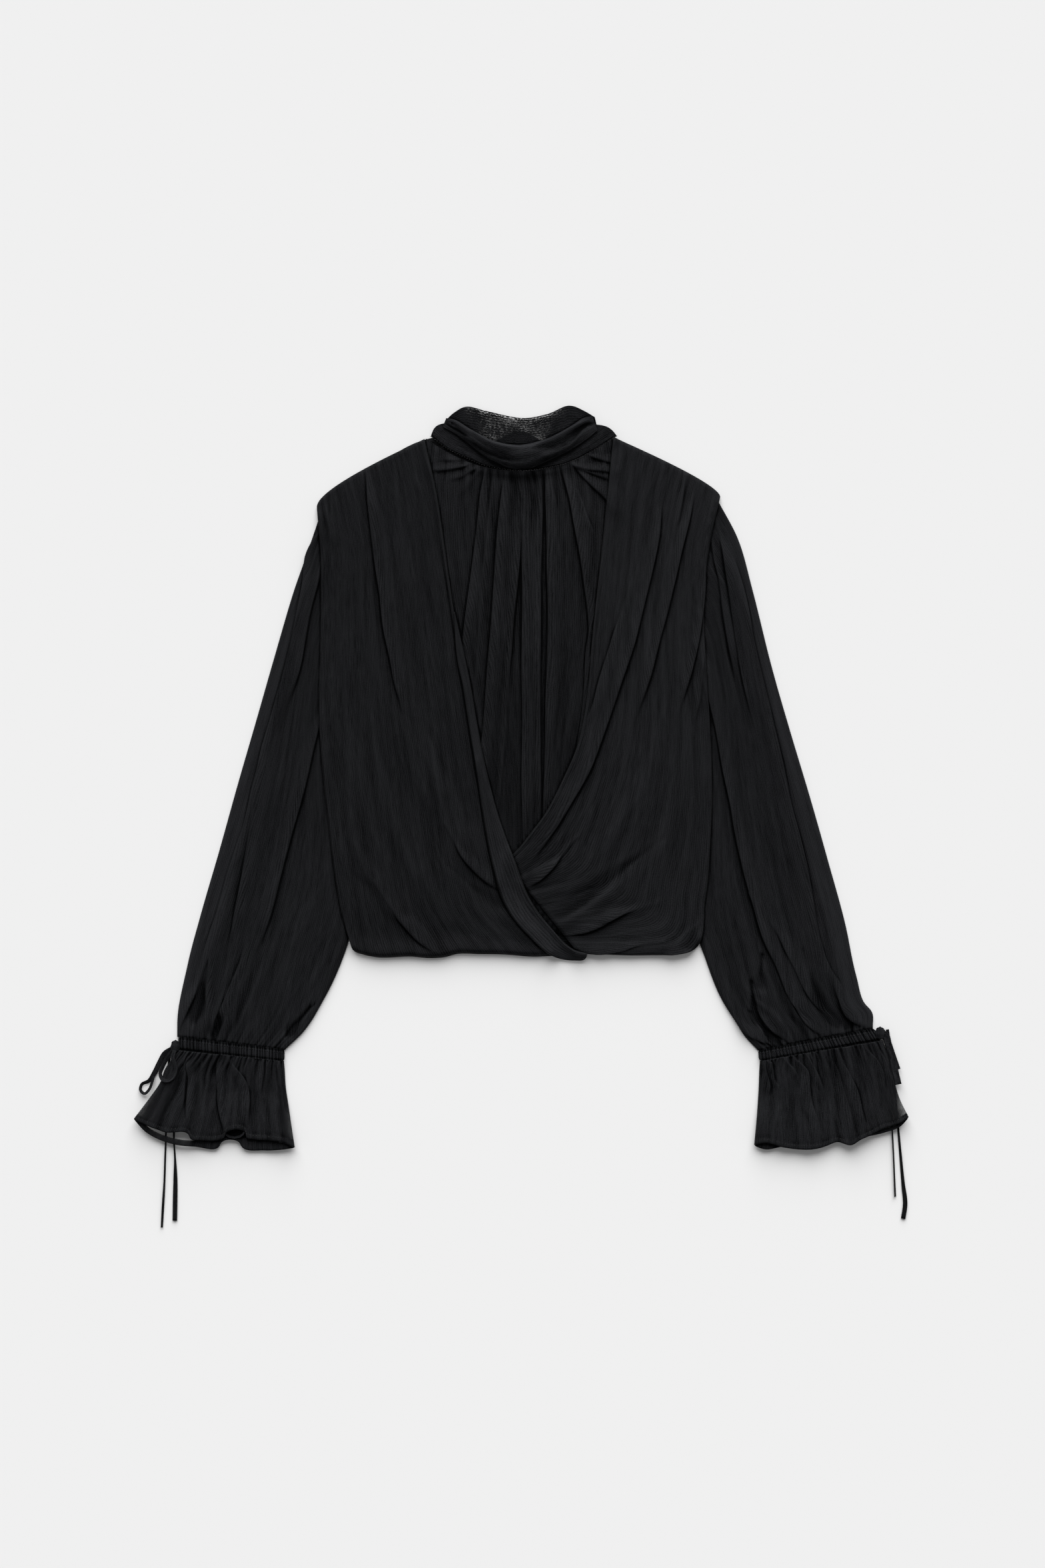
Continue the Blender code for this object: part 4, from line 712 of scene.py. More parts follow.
def fold_field(plan, folds):
    """What the folds add to the height at each point of a plan, and how far their crests lean aside."""
    flat = plan.reshape(-1, 2)
    lift = np.zeros(len(flat))
    lean = np.zeros((len(flat), 2))
    for number, fold in enumerate(folds):
        size = lengths(fold.line)[-1]
        line = even_route(fold.line, int(size / FOLD_STEP) + 2)
        margin = FOLD_MARGIN * max(fold.before, fold.after)
        near = np.all((flat > line.min(axis=0) - margin) & (flat < line.max(axis=0) + margin), axis=1)
        points = flat[near]
        gap = (points[:, None, 0] - line[None, :, 0]) ** 2 + (points[:, None, 1] - line[None, :, 1]) ** 2
        nearest = gap.argmin(axis=1)
        tangent = np.gradient(line, axis=0)
        tangent /= np.linalg.norm(tangent, axis=1, keepdims=True)
        aside = np.stack([-tangent[:, 1], tangent[:, 0]], axis=1)[nearest]
        offset = ((points - line[nearest]) * aside).sum(axis=1)
        place = nearest / (len(line) - 1)
        gone = place * size
        left = (1 - place) * size
        fade = ease(gone + FOLD_EARLY, *FADE_IN, size) * ease(left, *FADE_OUT, size)
        swell, wave, turn = FOLD_UNEVEN
        fade = fade * (1 + swell * np.sin(gone / wave + turn * number))
        opening = START_SHARE + (1 - START_SHARE) * ease(gone, *OPENING, size)
        closing = END_SHARE + (1 - END_SHARE) * ease(left, *CLOSING, size)
        full = np.where(offset < 0, fold.before, fold.after)
        reach = np.maximum(full * opening * closing, LEAST_REACH)
        lift[near] += FOLD_DEPTH * fold.height * fade * np.exp(-(offset / reach) ** 2)
        if fold.height > 0 and min(fold.before, fold.after) < STEEP:
            side = 1 if fold.after < fold.before else -1
            share = side * LEAN * min(fold.height / LEAN_HEIGHT, 1.0)
            crest = np.exp(-((offset + side * LEAN_PLACE[0]) / LEAN_PLACE[1]) ** 2)
            lean[near] += aside * (share * fade * crest)[:, None]
    return lift.reshape(plan.shape[:2]), lean.reshape(plan.shape)


def gather_field(rows, v, u, seed):
    """What rows of uneven gathers add to the height at every grid point (v, u)."""
    random = np.random.default_rng(seed)
    relief = np.zeros((len(v), len(u)))
    for row in rows:
        order = np.arange(row.count) + 0.5
        places = (order + random.uniform(-GATHER_SHIFT, GATHER_SHIFT, row.count)) / row.count
        heights = row.height * random.uniform(*GATHER_HEIGHTS, row.count)
        ends = row.full + (row.gone - row.full) * random.uniform(*GATHER_LENGTHS, row.count)
        widths = random.uniform(*GATHER_WIDTHS, row.count) / row.count
        drifts = random.uniform(-GATHER_DRIFT, GATHER_DRIFT, row.count) / row.count
        for place, height, end, width, drift in zip(places, heights, ends, widths, drifts):
            far = (v - row.full) / (end - row.full)
            middle = place + drift * far
            profile = np.exp(-((u[None, :] - middle[:, None]) / width) ** 2)
            relief += height * (1 - smooth(far))[:, None] * profile
    return relief


def ripple_field(across, along, seed, share=1.0):
    """Low ripples along the grain, that drift, fade and come back."""
    random = np.random.default_rng(seed)
    relief = np.zeros(np.broadcast(across, along).shape)
    for wave, height in RIPPLES:
        a, b, c, d = random.uniform(0, 2 * pi, 4)
        slow = SLOW_DRIFT[0] * np.sin(along / (wave * SLOW_DRIFT[1]) + a)
        quick = QUICK_DRIFT[0] * np.sin(along / (wave * QUICK_DRIFT[1]) + across / wave + b)
        bend = PATCH_BEND[0] * np.sin(along / (wave * PATCH_BEND[1]) + c)
        patch = 0.5 + 0.5 * np.sin(across / (wave * PATCH_WIDTH) + bend + d)
        relief += share * height * patch * np.sin(2 * pi * across / wave + (slow + quick))
    return relief


# ---------------------------------------------------------------- the cloth laid so far

def spread(top, reach):
    """Each cell takes the highest cell within reach of it."""
    for axis in (0, 1):
        wide = np.pad(top, [(reach, reach) if a == axis else (0, 0) for a in (0, 1)])
        size = top.shape[axis]
        top = np.max([np.take(wide, range(k, k + size), axis=axis) for k in range(2 * reach + 1)], axis=0)
    return top


def blur(top, reaches):
    """The mean of the cells around each cell, taken twice, with a reach along each axis."""
    for axis in (0, 1, 0, 1):
        reach = reaches[axis]
        wide = np.pad(top, [(reach + 1, reach) if a == axis else (0, 0) for a in (0, 1)], mode="edge")
        total = np.cumsum(wide, axis=axis)
        size = top.shape[axis]
        high = np.take(total, range(2 * reach + 1, 2 * reach + 1 + size), axis=axis)
        low = np.take(total, range(0, size), axis=axis)
        top = (high - low) / (2 * reach + 1)
    return top


def refined(grid, parts=3):
    """A grid of points with more points between them."""
    for axis in (0, 1):
        grid = np.swapaxes(grid, 0, axis)
        between = [grid[:-1] + (grid[1:] - grid[:-1]) * k / parts for k in range(parts)]
        finer = np.stack(between, axis=1).reshape(-1, *grid.shape[1:])
        grid = np.swapaxes(np.concatenate([finer, grid[-1:]]), 0, axis)
    return grid


# The crest values are painted: shade in the creases and highlight on the crests.
def crests(relief, down, across):
    """-1 deep in a crease, 1 on a crest, for a grid whose steps are so many mm down and across."""
    total = np.zeros_like(relief)
    for reach, height, share in CREST_SCALES:
        cells = (max(int(reach / down), 1), max(int(reach / across), 1))
        total += share * np.tanh((relief - blur(relief, cells)) / height)
    return np.where(total > 0, CREST_SHARE * total, total)


class Laid:
    """The upper side of the cloth laid so far, as heights over a plan of 1 mm cells."""

    low = np.array([-410, -480])
    cells = (821, 881)

    def __init__(self):
        self.top = np.zeros(self.cells)

    def add(self, points):
        fine = refined(points).reshape(-1, 3)
        cell = np.rint(fine[:, :2] - self.low).astype(int)
        np.maximum.at(self.top, (cell[:, 0], cell[:, 1]), fine[:, 2])

    def under(self, plan, firm=2, soft=4):
        """The height of what a piece lies on: firm over it, and softly bridging beside it."""
        level = np.maximum(spread(self.top, firm), blur(spread(self.top, soft), (soft, soft)))
        return self.read(level, plan)

    def read(self, level, plan):
        """The height at each point of a plan, between the cells round it."""
        last = np.array(level.shape) - 1.001
        spot = np.clip(plan - self.low, 0, last)
        i = spot.astype(int)
        t = spot - i
        x, y = i[..., 0], i[..., 1]
        tx, ty = t[..., 0], t[..., 1]
        near = level[x, y] * (1 - ty) + level[x, y + 1] * ty
        far = level[x + 1, y] * (1 - ty) + level[x + 1, y + 1] * ty
        return near * (1 - tx) + far * tx


LAID = Laid()
SHEETS = []              # each sheet's object and its outer side's points, in mm


# ---------------------------------------------------------------- making objects

def paint_crease_shade():
    """Paint shade on the cloth at the foot of whatever stands above it: a steep fold, or another piece's
    edge.
    """
    roof = blur(LAID.top, (1, 1))
    for obj, points in SHEETS:
        above = LAID.read(roof, points[..., :2]) - points[..., 2]
        tone = STAND_CREASE_SHADE if obj.name == "collar_stand_cloth" else CREASE_SHADE
        shade = -tone * np.tanh(np.maximum(above - CREASE_FOOT[0], 0) / CREASE_FOOT[1])
        values = np.zeros(len(obj.data.vertices))
        crest = obj.data.attributes["crest"].data
        crest.foreach_get("value", values)
        crest.foreach_set("value", values + shade.ravel())


def placed(points):
    """Points of the tables, in mm, as points of the model, in metres."""
    return (np.asarray(points, float) - (*CENTRE, 0)) * MM


def linked(obj):
    """Put an object into the scene."""
    bpy.context.scene.collection.objects.link(obj)
    return obj


def node_chain(material):
    material.use_nodes = True
    return material.node_tree.nodes, material.node_tree.links


def set_inputs(node, values):
    for name, value in values.items():
        node.inputs[name].default_value = value


def attribute(nodes, name):
    """The values that a mesh carries under a name."""
    node = nodes.new("ShaderNodeAttribute")
    node.attribute_name = name
    return node


def stretched(nodes, links, grain, across, along):
    """The cloth's own plan in mm, scaled across and along the grain."""
    stretch = nodes.new("ShaderNodeVectorMath")
    stretch.operation = "MULTIPLY"
    stretch.inputs[1].default_value = (across, along, 1)
    links.new(grain.outputs["Vector"], stretch.inputs[0])
    return stretch.outputs["Vector"]


def stretched_noise(nodes, links, grain, width, length, detail):
    """Noise in streaks of the given width and length in mm, in the cloth's own plan."""
    place = stretched(nodes, links, grain, 1 / width, 1 / length)
    noise = nodes.new("ShaderNodeTexNoise")
    set_inputs(noise, {"Scale": 1.0, "Detail": detail, "Roughness": 0.6})
    links.new(place, noise.inputs["Vector"])
    return noise.outputs["Fac"]


def crinkle_lines(nodes, links, grain, spacing, length, waver):
    """Wavering lines along the grain, a spacing apart in mm, whose waver changes over a length in mm."""
    place = stretched(nodes, links, grain, 2 * pi / (WAVE_SCALE * spacing), 1 / length)
    wave = nodes.new("ShaderNodeTexWave")
    wave.bands_direction = "X"
    set_inputs(wave, {"Scale": 1.0, "Distortion": waver, "Detail": 2.0, "Detail Scale": 1.0})
    links.new(place, wave.inputs["Vector"])
    return wave.outputs["Fac"]


def sum_of(nodes, links, parts):
    """The weighted sum of some values."""
    total = None
    for value, weight in parts:
        scaled = nodes.new("ShaderNodeMath")
        scaled.operation = "MULTIPLY_ADD"
        links.new(value, scaled.inputs[0])
        scaled.inputs[1].default_value = weight
        if total is None:
            scaled.inputs[2].default_value = 0.0
        else:
            links.new(total, scaled.inputs[2])
        total = scaled.outputs[0]
    return total


def mapped(nodes, links, value, low, high, to_low, to_high):
    """A value taken from one range to another, and held inside it."""
    node = nodes.new("ShaderNodeMapRange")
    links.new(value, node.inputs["Value"])
    set_inputs(node, {"From Min": low, "From Max": high, "To Min": to_low, "To Max": to_high})
    return node.outputs["Result"]


def crinkled_cloth(name, dark, light, width=0.52, length=16.0, sheer=0.0,
                   threads_range=(0.38, 0.62, 0.5, 1.0), uneven=0.30, lined=0.12):
    """Black crinkled cloth: fine streaks along the grain, uneven in tone, with a soft matt sheen."""
    material = bpy.data.materials.new(name)
    nodes, links = node_chain(material)
    shader = nodes["Principled BSDF"]
    grain = attribute(nodes, "weave")
    lines = crinkle_lines(nodes, links, grain, LINES[0] * width, LINES[1] * length, LINES[2])
    fine = stretched_noise(nodes, links, grain, width, length, FINE_DETAIL)
    speck = stretched_noise(nodes, links, grain, *SPECK)
    broad = stretched_noise(nodes, links, grain, BROAD[0] * width, BROAD[1] * length, BROAD[2])
    # The crest values paint shade into the creases and highlight onto the crests.
    crest = attribute(nodes, "crest")
    tone = sum_of(nodes, links, ((lines, lined), (fine, FINE_TONE), (speck, SPECK_TONE), (broad, uneven),
                                 (crest.outputs["Fac"], CREST_AND_CREASE_SHADING)))
    mix = nodes.new("ShaderNodeMix")
    mix.data_type = "RGBA"
    low, high = (end + 0.5 * uneven for end in TONE_RANGE)
    links.new(mapped(nodes, links, tone, low, high, 0.0, 1.0), mix.inputs["Factor"])
    set_inputs(mix, {"A": (*dark, 1), "B": (*light, 1)})
    links.new(mix.outputs["Result"], shader.inputs["Base Color"])
    bump = nodes.new("ShaderNodeBump")
    set_inputs(bump, {"Strength": 1.0, "Distance": BUMP_DISTANCE})
    links.new(sum_of(nodes, links, ((lines, BUMP_SHARE), (fine, BUMP_SHARE))), bump.inputs["Height"])
    links.new(bump.outputs["Normal"], shader.inputs["Normal"])
    set_inputs(shader, CLOTH_SHADER)
    if sheer:
        share = attribute(nodes, "sheer")
        parts = zip((fine, lines, broad), THREAD_SHARES)
        threads = mapped(nodes, links, sum_of(nodes, links, parts), *threads_range)
        clear = nodes.new("ShaderNodeMath")
        clear.operation = "MULTIPLY"
        clear.use_clamp = True
        links.new(share.outputs["Fac"], clear.inputs[0])
        links.new(threads, clear.inputs[1])
        cover = nodes.new("ShaderNodeMath")
        cover.operation = "MULTIPLY_ADD"
        links.new(clear.outputs[0], cover.inputs[0])
        set_inputs(cover, {1: -sheer, 2: 1.0})
        links.new(cover.outputs[0], shader.inputs["Alpha"])
    return material


def mesh_object(name, verts, faces, material, weave=None, sheer=None, crest=None):
    """A smooth mesh of points in mm, with its place on the cloth, how sheer it is and its crests."""
    data = bpy.data.meshes.new(name)
    data.from_pydata(placed(verts).tolist(), [], faces)
    data.validate()
    data.shade_smooth()
    if weave is None:
        weave = np.asarray(verts)[:, :2]
    flat = np.column_stack([np.asarray(weave, float), np.zeros(len(verts))])
    data.attributes.new("weave", "FLOAT_VECTOR", "POINT").data.foreach_set("vector", flat.ravel())
    for label, values in (("sheer", sheer), ("crest", crest)):
        if values is not None:
            values = np.asarray(values, float).ravel()
            data.attributes.new(label, "FLOAT", "POINT").data.foreach_set("value", values)
    data.materials.append(material)
    return linked(bpy.data.objects.new(name, data))


def attach(obj, slot, *nodes):
    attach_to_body(obj, "root")
    if nodes:
        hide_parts(*nodes)
    return obj


def grid_faces(rows, count, closed=False):
    """The quads of a grid of points, each row's end joined to its start if closed."""
    index = np.arange(rows * count).reshape(rows, count)
    after = np.roll(index, -1, axis=1)
    if not closed:
        index, after = index[:, :-1], after[:, :-1]
    quads = np.stack([index[:-1], index[1:], after[1:], after[:-1]], axis=-1)
    return quads.reshape(-1, 4)


def faces_out(verts, quads, closed):
    """The quads, turned to the cloth's outer side: up on a panel, away from the middle on a tube."""
    corner = verts[quads]
    normal = np.cross(corner[:, 2] - corner[:, 0], corner[:, 3] - corner[:, 1])
    weight = corner[:, :, 2].mean(axis=1) - (verts[:, 2].mean() if closed else -1.0)
    if (normal[:, 2] * weight).sum() < 0:
        quads = quads[:, ::-1]
    return quads.tolist()


def cloth_object(name, points, material, weave, closed=False, sheer=None, crest=None, wall=WALL):
    """Cloth whose outer side is a grid of points in mm."""
    rows, count = points.shape[:2]
    if crest is None:
        crest = np.zeros((rows, count))
    verts = points.reshape(-1, 3)
    faces = faces_out(verts, grid_faces(rows, count, closed), closed)
    obj = mesh_object(name, verts, faces, material, weave.reshape(-1, 2), sheer, crest)
    thickness = obj.modifiers.new("wall", "SOLIDIFY")
    thickness.thickness = wall * MM
    thickness.offset = -1
    LAID.add(points)
    SHEETS.append((obj, points))
    return obj


def fresh_weave(across, along, seed):
    """Where each point is on the cloth's own grain, in mm, with its own start for each piece."""
    across, along = np.broadcast_arrays(across, along)
    return np.stack([across + 137.0 * seed, along + 61.0 * seed], axis=-1)


# ---------------------------------------------------------------- panels and tubes

def bell(distance, width):
    """1 at no distance, falling softly to 0 over a width."""
    return np.exp(-(distance / width) ** 2)


def above_hem(plan):
    """How far above the hem's line each point of a plan is."""
    line = np.array(HEM_LINE)
    hem = through(line[:, 0], line[:, 1], plan[..., 0].ravel()).reshape(plan.shape[:2])
    return np.maximum(plan[..., 1] - hem, 0)


def panel(node, sections, folds, gathers, shape, seed, material, skew=1.0, hem=None, turned=False,
          layer=LAYER, ripple=1.0, facing=0.0, bridge=4, paler=(0.0, 0.0), start=ROUND, bunched=1.0):
    """A panel of cloth that lies on the pieces laid before it."""
    v = np.linspace(0, 1, shape[0] + 1) ** bunched
    u = steps(shape[1])
    plan, length = section_lines(sections, v, u, skew)
    if hem is not None:
        own_hem = smooth((v - HEM_BLEND[0]) / HEM_BLEND[1])[:, None, None]
        plan = plan + own_hem * (table_curve(hem, u) - plan[-1])[None]
    middle = plan[:, len(u) // 2]
    across = u[None, :] * length.mean()
    along = lengths(middle)[:, None]
    rise = through(columns(sections, "v")[:, 0], columns(sections, "rise"), v)
    lift, lean = fold_field(plan, folds)
    narrow = np.minimum(length / length.mean(), 1.0)[:, None] ** NARROW
    ripples = ripple_field(across, along, seed, ripple) * narrow
    loose = rise + lift + gather_field(gathers, v, u, seed) + ripples
    inside = (1 - u)[None, :] * length[:, None]
    groove_start = smooth((v - GROOVE_START[0]) / GROOVE_START[1])[:, None]
    groove = facing * bell(inside - GROOVE[1], GROOVE[2]) * groove_start
    # Painted highlight and shade from the crests, and painted shade in the facing's groove.
    crest = crests(loose, along[-1, 0] / shape[0], length.mean() / shape[1]) - groove
    crest = crest + paler[0] + (paler[1] - paler[0]) * v[:, None]
    crest = crest + facing * EDGE_TONE[0] * bell(inside, EDGE_TONE[1])
    loose = loose + facing * EDGE_FULL[0] * bell(inside, EDGE_FULL[1]) - GROOVE[0] * groove
    if turned:
        above = above_hem(plan)
        puff = bell(above, HEM_FULL[1])
        loose = loose * (1 - HEM_FLAT * puff) + HEM_FULL[0] * puff
    loose = np.maximum(slack(loose, DRAPE), 0.0)
    inward = np.minimum(u, 1 - u)[None, :] * length[:, None]
    drawn_down = rounded(inward / ROUND) * smooth(0.15 + 0.85 * along / start)
    if turned:
        drawn_down = drawn_down * rounded(above / HEM_TURN)
    height = LAID.under(plan, soft=bridge) + layer + loose * drawn_down
    points = np.dstack([plan + lean * drawn_down[..., None], height])
    obj = cloth_object(node + "_cloth", points, material, fresh_weave(across, along, seed), crest=crest)
    return attach(obj, "body_cloth", node)


def tube(node, sections, folds, gathers, shape, seed, material, slot, over=None, under=None,
         stands=False, waves=None, ripple=1.0, edge=4.0, sheer=None, gathered=False, puffs=0, inside=(),
         outer_strip=None):
    """A flattened tube of cloth: a folded upper wall from edge to edge, and a plain lower wall."""
    rows, upper_count, lower_count = shape
    v = np.linspace(0, 1, rows + 1)
    u = steps(upper_count)
    back = np.linspace(1, 0, lower_count + 2)[1:-1]
    plan, length = section_lines(sections, v, u)
    under_plan = section_lines(sections, v, back)[0]
    if over is not None:
        opens = smooth((v - MOUTH_BLEND[0]) / MOUTH_BLEND[1])[:, None, None]
        plan = plan + opens * (table_curve(over, u) - plan[-1])[None]
        under_plan = under_plan + opens * (table_curve(under, back) - under_plan[-1])[None]
    cut = length[-1] * np.ones_like(length) if gathered else length
    across = u[None, :] * cut[:, None]
    along = lengths(plan[:, len(u) // 2])[:, None] * np.ones((1, len(u)))
    rise = through(columns(sections, "v")[:, 0], columns(sections, "rise"), v)
    lift, lean = fold_field(plan, folds)
    loose = rise + lift + gather_field(gathers, v, u, seed)
    loose = loose + ripple_field(u[None, :] * length.mean(), along, seed, ripple)
    if waves is not None:
        loose = loose + waves(v, u)
    inward = np.minimum(u, 1 - u)[None, :] * length[:, None]
    full = rounded(inward / edge)
    floor = off_floor(v, u) if stands else np.zeros_like(full)
    floor_back = off_floor(v, back) if stands else np.zeros(under_plan.shape[:2])
    loose = np.maximum(slack(loose, POCKET), -SINK)
    height = floor + 0.5 * TUBE + (0.5 * TUBE + loose) * full
    if puffs:
        down = (plan[-1] - plan[0]) / np.linalg.norm(plan[-1] - plan[0], axis=1, keepdims=True)
        bulge = (puffed(u, puffs, seed) - 0.5)[None, :, None] * (v * 2 - 1)[:, None, None]
        middle = 0.5 * (plan[:1] + plan[-1:])
        plan = middle + (plan - middle) * (1 - PUFF_ENDS[0] * bell(inward, PUFF_ENDS[1]))[..., None]
        plan = plan + PUFF_BULGE * bulge * down[None]
        height = height + PUFF_HEIGHT * ((puffed(u, puffs, seed) - PUFF_FOOT)[None, :] * full)
        loose = loose + PUFF_HEIGHT * puffed(u, puffs, seed)[None, :]
    back_inward = np.minimum(back, 1 - back)[None, :] * length[:, None]
    low = floor_back + WALL + 0.5 * TUBE * (1 - rounded(back_inward / edge))
    points = np.concatenate([np.dstack([plan + lean * full[..., None], height]),
                             np.dstack([under_plan, low])], axis=1)
    weave_back = (2 - back)[None, :] * cut[:, None]
    weave = np.concatenate([fresh_weave(across, along, seed),
                            fresh_weave(weave_back, along[:, :1], seed)], axis=1)
    clear = None if sheer is None else np.concatenate([sheer(v, u), sheer(v, back, True)], axis=1)
    crest = crests(loose, along[-1, 0] / rows, length.mean() / upper_count)
    # Painted shade in the sleeve's deep pockets.
    pockets = [fold for fold in folds if fold.height < POCKET_FOLD]
    crest = crest + POCKET_SHADE * fold_field(plan, pockets)[0]
    if outer_strip is not None:
        tone, reach = outer_strip
        strip = tone * (1 - smooth((u - reach) / STRIP_BLEND[0]))[None, :]
        crest = crest + strip * smooth(v / STRIP_BLEND[1])[:, None]
    # Painted shade along the casing's upper seam.
    if puffs:
        crest = crest - CASING_SEAM_SHADE[0] * bell(v, CASING_SEAM_SHADE[1])[:, None]
    # Painted shade inside each rolled fold, on the lower wall.
    shade = np.zeros(under_plan.shape[:2])
    for x, y, wide, tall in inside:
        shade -= MOUTH_SHADE * np.exp(-((under_plan[..., 0] - x) / wide) ** 4
                                     - ((under_plan[..., 1] - y) / tall) ** 4)
    crest = np.concatenate([crest, shade], axis=1)
    obj = cloth_object(node + "_cloth", points, material, weave, closed=True, sheer=clear, crest=crest)
    return attach(obj, slot, node)


def puffed(u, count, seed):
    """A casing's gathers, from 0 between two puffs to 1 on one, uneven in width and height."""
    random = np.random.default_rng(seed)
    a, b, c = random.uniform(0, 2 * pi, 3)
    slow = PUFF_SLOW[0] * np.sin(2 * pi * PUFF_SLOW[1] * u + a)
    quick = PUFF_QUICK[0] * np.sin(2 * pi * PUFF_QUICK[1] * u + b)
    phase = pi * count * (u + slow + quick)
    uneven = PUFF_UNEVEN[0] + PUFF_UNEVEN[1] * np.sin(2 * pi * PUFF_UNEVEN[2] * u + c)
    return np.abs(np.sin(phase)) ** PUFF_ROUND * uneven


def wider(casing, above=2.8, below=1.3, rise=1.4):
    """The casing's sections, reaching a little over the sleeve's end and the ruffle's start."""
    shift = {0.0: above, 1.0: -below}
    return [s._replace(y0=s.y0 + shift.get(s.v, 0), y1=s.y1 + shift.get(s.v, 0), rise=s.rise + rise)
            for s in casing]


def off_floor(v, u):
    """How far the ruffle is off the floor: its outer side lies on the ties, and its crisp hem stands up."""
    ties = TIE_LIFT * (1 - smooth((u - TIE_SIDE[0]) / (TIE_SIDE[1] - TIE_SIDE[0])))
    hem = HEM_STAND * (0.85 + 0.2 * np.sin(2 * pi * 3.3 * u + 1.0))
    return ties + (hem - 0.5 * ties) * smooth((v[:, None] - 0.5) / 0.5)


def ruffle_waves(seed):
    """Soft waves that open out from the casing to the hem, uneven from one to the next."""
    random = np.random.default_rng(seed)
    a, b, c = random.uniform(0, 2 * pi, 3)

    def waves(v, u):
        wander = WAVE_WANDER[0] * np.sin(2 * pi * WAVE_WANDER[1] * u + a)
        place = u[None, :] + wander[None, :] * v[:, None]
        ripple = 0.5 - 0.5 * np.cos(2 * pi * WAVE_COUNT * place + b)
        uneven = 1 + WAVE_UNEVEN[0] * np.sin(2 * pi * WAVE_UNEVEN[1] * u + c)
        seam = -HEM_GROOVE[0] * bell(v - ROLLED_HEM, HEM_GROOVE[1])
        return WAVE_HEIGHT * (0.2 + 0.8 * v[:, None]) * ripple * uneven[None, :] + seam[:, None]
    return waves


def ruffle_sheer(outer, inner):
    """How clear a ruffle is: most at its sides and in its mouth, least where it is gathered or doubled."""
    def between(u, start, end, blend):
        return smooth((u - start) / blend[0]) * (1 - smooth((u - end) / blend[1]))

    def sheer(v, u, lower=False):
        sides = outer * (1 - smooth(u / SIDE_CLEAR[0])) + inner * (1 - smooth((1 - u) / SIDE_CLEAR[1]))
        rolled_hem = smooth((v - 0.93) / 0.02)
        clear = LEAST_CLEAR + sides[None, :] * smooth((v - 0.35) / 0.5)[:, None]
        if lower:
            mouth = between(u, 0.06, 0.36, (0.06, 0.04)) + 2 * inner * smooth((u - 0.9) / 0.04)
            clear = np.maximum(clear, MOUTH_CLEAR * mouth[None, :] * smooth((v - 0.6) / 0.2)[:, None])
        return clear * smooth((v[:, None] - 0.03) / 0.25) * (1 - HEM_DENSE * rolled_hem[:, None])
    return sheer


def casing_rows(v, u):
    """The cord in the casing puffs it up between its two rows of stitches."""
    rows = sum(bell(v - row, ROW_GROOVE[1]) for row in CASING_ROWS)
    return (-ROW_GROOVE[0] * rows)[:, None] * np.ones((1, len(u)))


# ---------------------------------------------------------------- ties, loops and knots

def ribbon_form(form, count):
    """A ribbon's width in mm and its twist in radians, at evenly spaced places along it."""
    place = np.linspace(0, 1, count)
    knots = np.linspace(0, 1, len(form.width))
    width = through(knots, form.width, place)[:, 0]
    twist = np.radians(through(knots, form.twist, place)[:, 0])
    return width, twist


def ribbon(name, route, form, material, thick=TIE_THICK):
    """A flat tie: its own width and twist along a route of (x, y, z) points in mm."""
    route = np.asarray(route, float)
    width, twist = ribbon_form(form, len(route))
    tangent = np.gradient(route, axis=0)
    tangent /= np.linalg.norm(tangent, axis=1, keepdims=True)
    side = np.cross(tangent, (0, 0, 1))
    side /= np.linalg.norm(side, axis=1, keepdims=True)
    up = np.cross(side, tangent)
    wide = side * np.cos(twist)[:, None] + up * np.sin(twist)[:, None]
    tall = np.cross(wide, tangent)
    rings = [route + wide * (width / 2 * a)[:, None] + tall * (thick * b) for a, b in RIBBON_PROFILE]
    points = np.stack(rings, axis=1)
    low = points[..., 2].min(axis=1)
    points[..., 2] += np.maximum(FLOOR_GAP - low, 0)[:, None]
    rows, count = points.shape[:2]
    verts = points.reshape(-1, 3)
    quads = grid_faces(rows, count, closed=True)
    faces = quads.tolist() + [list(range(count))[::-1], [(rows - 1) * count + k for k in range(count)]]
    along = np.repeat(lengths(route)[:, None], count, axis=1)
    weave = np.stack([np.tile(np.arange(count) * RIM_STEP, (rows, 1)), along], axis=-1).reshape(-1, 2)
    return mesh_object(name, verts, faces, material, weave)


def outward(obj):
    """Turn a closed mesh's faces outward."""
    mesh = bmesh.new()
    mesh.from_mesh(obj.data)
    bmesh.ops.recalc_face_normals(mesh, faces=mesh.faces)
    mesh.to_mesh(obj.data)
    mesh.free()
    return obj


def make_ties(material):
    """The four free ties, which lie on the floor and run out from under the ruffles."""
    for node, points in TIES.items():
        form = TIE_FORMS[node]
        plan = even_route(points, TIE_STEPS)
        width, twist = ribbon_form(form, TIE_STEPS)
        level = np.maximum(TIE_HEIGHT, 0.5 * width * np.abs(np.sin(twist)) + TIE_CLEAR)
        route = np.column_stack([plan, level])
        obj = outward(ribbon(node + "_ribbon", route, form, material))
        attach(obj, "tie_cloth", node)
        size = lengths(route)[-1] * MM


